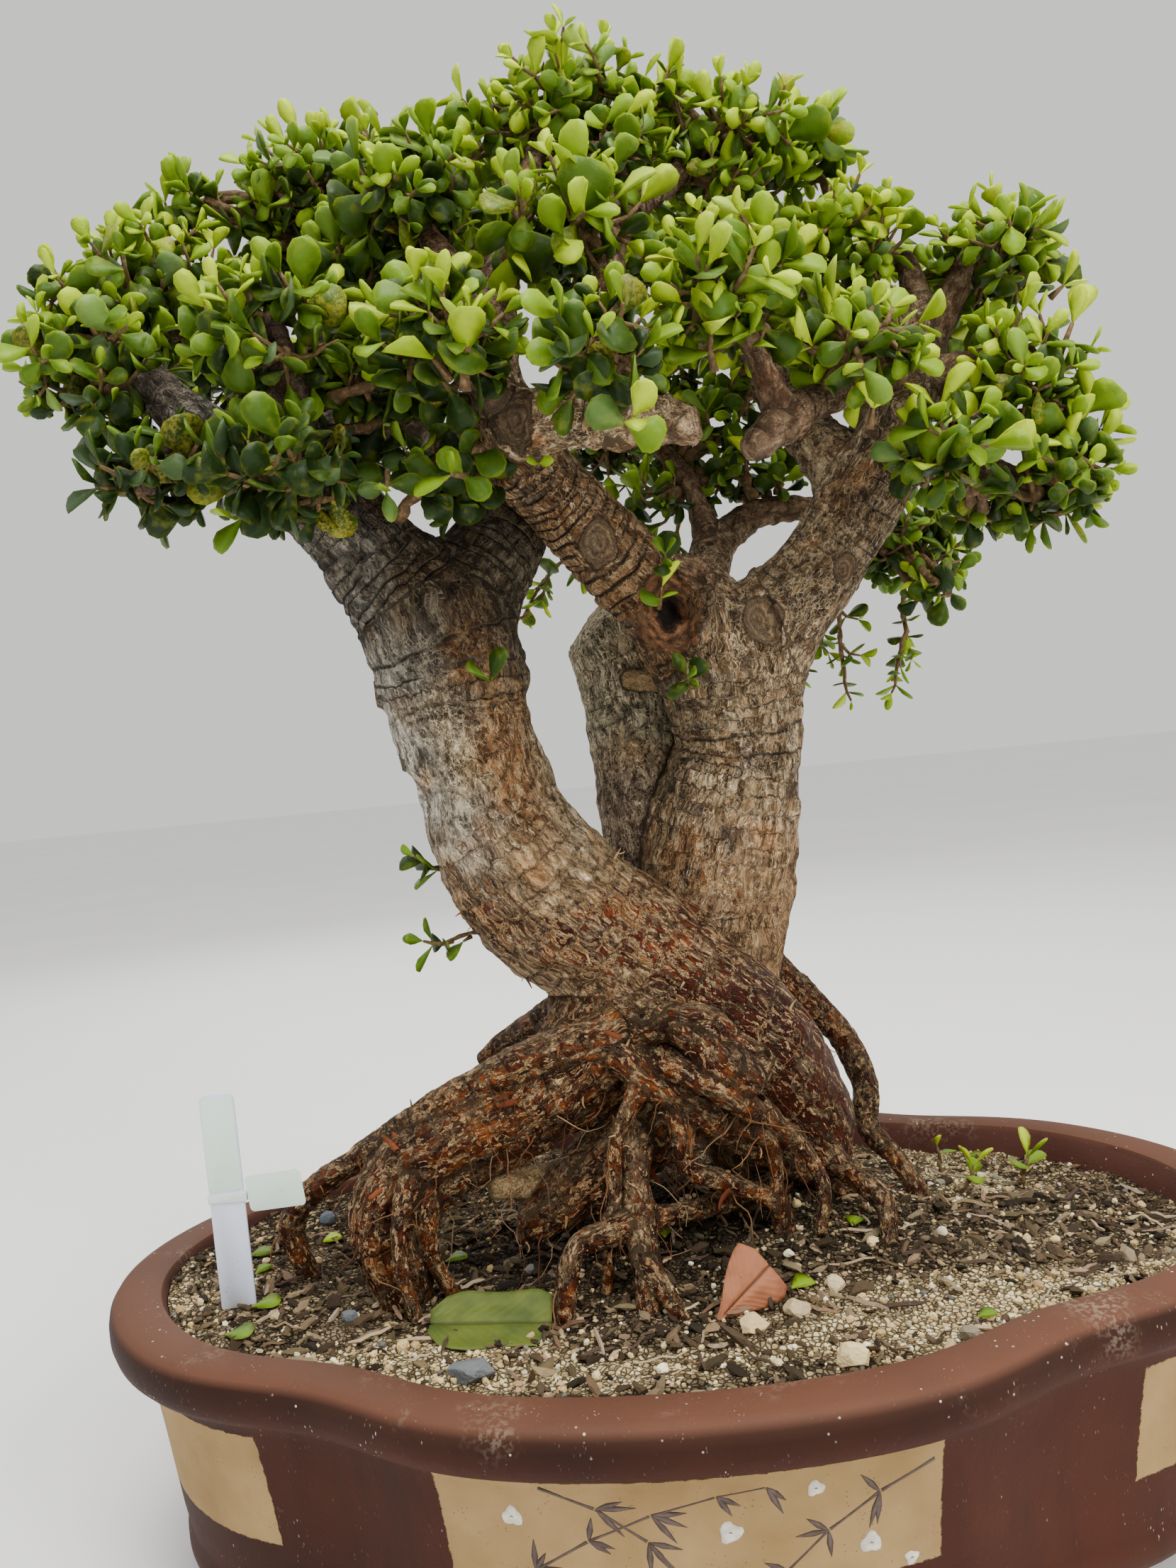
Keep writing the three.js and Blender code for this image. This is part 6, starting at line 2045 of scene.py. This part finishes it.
def wall_place(arc, height, lift=0.0):
    """A place on the pot's wall, from the arc round it and the height, in millimetres."""
    angles, lengths = wall_arc()
    total = lengths[-1]
    angle = np.interp((arc * MM) % total, lengths, angles)
    rows = [POT_SECTION[k] for k in range(14, 21)]
    inset = np.interp(height, [row[1] for row in rows], [row[0] for row in rows])
    here, ahead = lobe_points(np.array([angle, angle + 0.002]), (inset - lift) * MM)
    normal = Vector((ahead[1] - here[1], here[0] - ahead[0], 0)).normalized()
    return Vector((here[0], here[1], height * MM)), normal


def brush_stroke(heap, stations, relief=0.22):
    """A stroke along [arc, height, width] stations, as a low closed ridge on the wall."""
    rows = []
    for k, (arc, height, width) in enumerate(stations):
        before, after = stations[max(k - 1, 0)], stations[min(k + 1, len(stations) - 1)]
        along = Vector((after[0] - before[0], after[1] - before[1])).normalized()
        half = max(width, 0.12) / 2
        for side, lift in ((-1, 0.02), (0, relief), (1, 0.02), (0, -0.3)):
            place, normal = wall_place(arc - along.y * side * half, height + along.x * side * half)
            rows.append(place + normal * (lift * MM))
    triangles = [(0, 2, 1), (0, 3, 2)]
    for k in range(len(stations) - 1):
        for i in range(4):
            a, b, c, d = k * 4 + i, k * 4 + (i + 1) % 4, k * 4 + 4 + (i + 1) % 4, k * 4 + 4 + i
            triangles += [(a, b, c), (a, c, d)]
    last = (len(stations) - 1) * 4
    triangles += [(last, last + 1, last + 2), (last, last + 2, last + 3)]
    points = np.array([tuple(row) for row in rows])
    heap.add(points, outward_triangles(points, triangles))


def glaze_dab(heap, arc, height, radius):
    """A raised round drop of glaze with an uneven edge."""
    sides = 16
    spots = [(arc, height, 0.5)]
    for share, lift in ((0.45, 0.55), (0.85, 0.4), (1.0, -0.25)):
        for k in range(sides):
            turn = TURN * k / sides
            reach = radius * share * (1 + 0.16 * math.sin(3 * turn + arc) + 0.08 * math.sin(5 * turn))
            spots.append((arc + reach * math.cos(turn), height + reach * math.sin(turn), lift))
    spots.append((arc, height, -0.25))
    shape = []
    for across, up, lift in spots:
        place, normal = wall_place(across, up)
        shape.append(tuple(place + normal * (lift * MM)))
    triangles = []
    outer, back = 1 + 2 * sides, len(shape) - 1
    for k in range(sides):
        j = (k + 1) % sides
        triangles += [(0, 1 + k, 1 + j), (outer + j, outer + k, back)]
        for a in (1, 1 + sides):
            b = a + sides
            triangles += [(a + k, b + k, b + j), (a + k, b + j, a + j)]
    heap.add(np.array(shape), np.array(triangles))


# The painting, in millimetres round the wall and up it: the joints of the canes, and the glaze drops with
# their radii.
CANES = [
    [(-84, 57), (-66, 70), (-44, 83), (-20, 93), (4, 99), (22, 101)],
    [(86, 100), (64, 92), (44, 80), (28, 66), (18, 57.5)],
    [(-60, 105), (-40, 96), (-22, 82), (-10, 66), (-4, 57.5)],
]
DROPS = [
    (-72, 92, 4.2), (-30, 68, 3.6), (8, 84, 4.6), (40, 98, 3.4), (60, 72, 4.4), (76, 62, 3.0), (-50, 63, 2.8),
]


# How far along a stroke, and its width there: a joint of a cane, as a share of its width, and a leaf.
JOINT = [(0, 1), (0.25, 0.75), (0.75, 0.7), (0.97, 0.95)]
BLADE = [(0, 0.4), (0.18, 1.6), (0.45, 2.6), (0.75, 1.5), (1, 0.15)]


def make_window_painting():
    """Slender canes with pointed leaves and a few drops of white glaze."""
    rng = random.Random(12)
    ink, glaze = Heap(), Heap()
    for cane in CANES:
        for k, ((a, b), (c, d)) in enumerate(zip(cane, cane[1:])):
            width = 1.7 - 0.22 * k
            brush_stroke(ink, [(a + (c - a) * t, b + (d - b) * t, width * share)
                               for t, share in JOINT])
        for (before_a, before_b), (a, b) in zip(cane, cane[1:]):
            lean = math.atan2(b - before_b, a - before_a)
            for side in rng.sample([-1.25, -0.85, -0.45, 0.45, 0.8, 1.15], 3):
                turn = lean + side + rng.uniform(-0.12, 0.12)
                long = rng.uniform(9, 15)
                c, s = math.cos(turn), math.sin(turn)
                if not 60 < b + s * long < 105 or abs(a + c * long) > 90:
                    continue
                brush_stroke(ink, [(a + c * long * t, b + s * long * t, width)
                                   for t, width in BLADE])
    for arc, height, radius in DROPS:
        glaze_dab(glaze, arc, height, radius)
        speck = [(arc - 0.6, height, 0.6), (arc, height + 0.4, 1.6), (arc + 0.7, height, 0.5)]
        brush_stroke(ink, speck, 0.75)
    settle(ink.piece("painted_canes"), painted_paint("brown_ink", (0.050, 0.026, 0.018), 0.5))
    settle(glaze.piece("glaze_drops"), painted_paint("white_glaze", (0.50, 0.46, 0.38), 0.25))


# ------------------------------------------------------------------ building

make_camera()
make_studio()

BARK = bark_paint()
LEAF_PAINT = leaf_paint()
TWIG_PAINT = twig_paint()
CRUMB = crumb_paint()

make_pot()
make_window_painting()
VOXEL = 1.5 * MM
left_wood = make_wood("left_trunk_wood", "left_trunk", LEFT_WOOD, BARK_MARKS["left"], VOXEL)
right_wood = make_wood("right_trunk_wood", "right_trunk", RIGHT_WOOD, BARK_MARKS["right"], VOXEL)
WOOD_TREE = search_tree([left_wood, right_wood])

LEAVES = [leaf_shape(*shape) for shape in (
    (0.62, 0.39, 0.074, 0.02), (0.66, 0.43, 0.068, 0.04), (0.58, 0.35, 0.082))]
BROAD_LEAF = leaf_shape(0.66, 0.44, 0.062, 0.03)
FULLNESS = 1.0
for number, (pad, box) in enumerate(PADS.items()):
    make_pad(pad, box, number, FULLNESS, [f"foliage_{pad}"])
for number, (pad, box) in enumerate(FILLING.items()):
    make_pad(pad, box, 50 + number, FULLNESS)
make_special_shoots()

make_soil()
make_loose_crumbs()
make_stones()
make_root_debris(left_wood)
make_fallen_leaf(
    "fallen_leaf_green", [(-109, -95, 136), (-57, -96, 133.5), (-84, -80, 142)],
    [(6, 5), (13, 12), (15, 14), (15.5, 14.5), (15, 14), (14.5, 13.5), (14, 13.5), (14, 14.5), (14, 15),
     (8, 12)],
    2.2, ("fallen_green_leaf", (0.100, 0.132, 0.014), (0.055, 0.082, 0.009), (0.045, 0.052, 0.010)))
make_fallen_leaf(
    "fallen_leaf_dry", [(12.6, -105, 131.5), (38, -88, 146), (20, -88, 158)],
    [(0.2, 0.2), (1.6, 2.0), (3.4, 4.4), (5.4, 7), (7.6, 9.5), (9.8, 11.8), (11.8, 13.6), (13, 15),
     (13.5, 15.5), (11, 9)],
    -1.6, ("fallen_dry_leaf", (0.34, 0.120, 0.050), (0.20, 0.062, 0.024), (0.050, 0.024, 0.014)))
make_tag()

for name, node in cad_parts.items():
    if name.startswith("drain_screen"):
        node.data.materials.clear()
        node.data.materials.append(screen_paint())
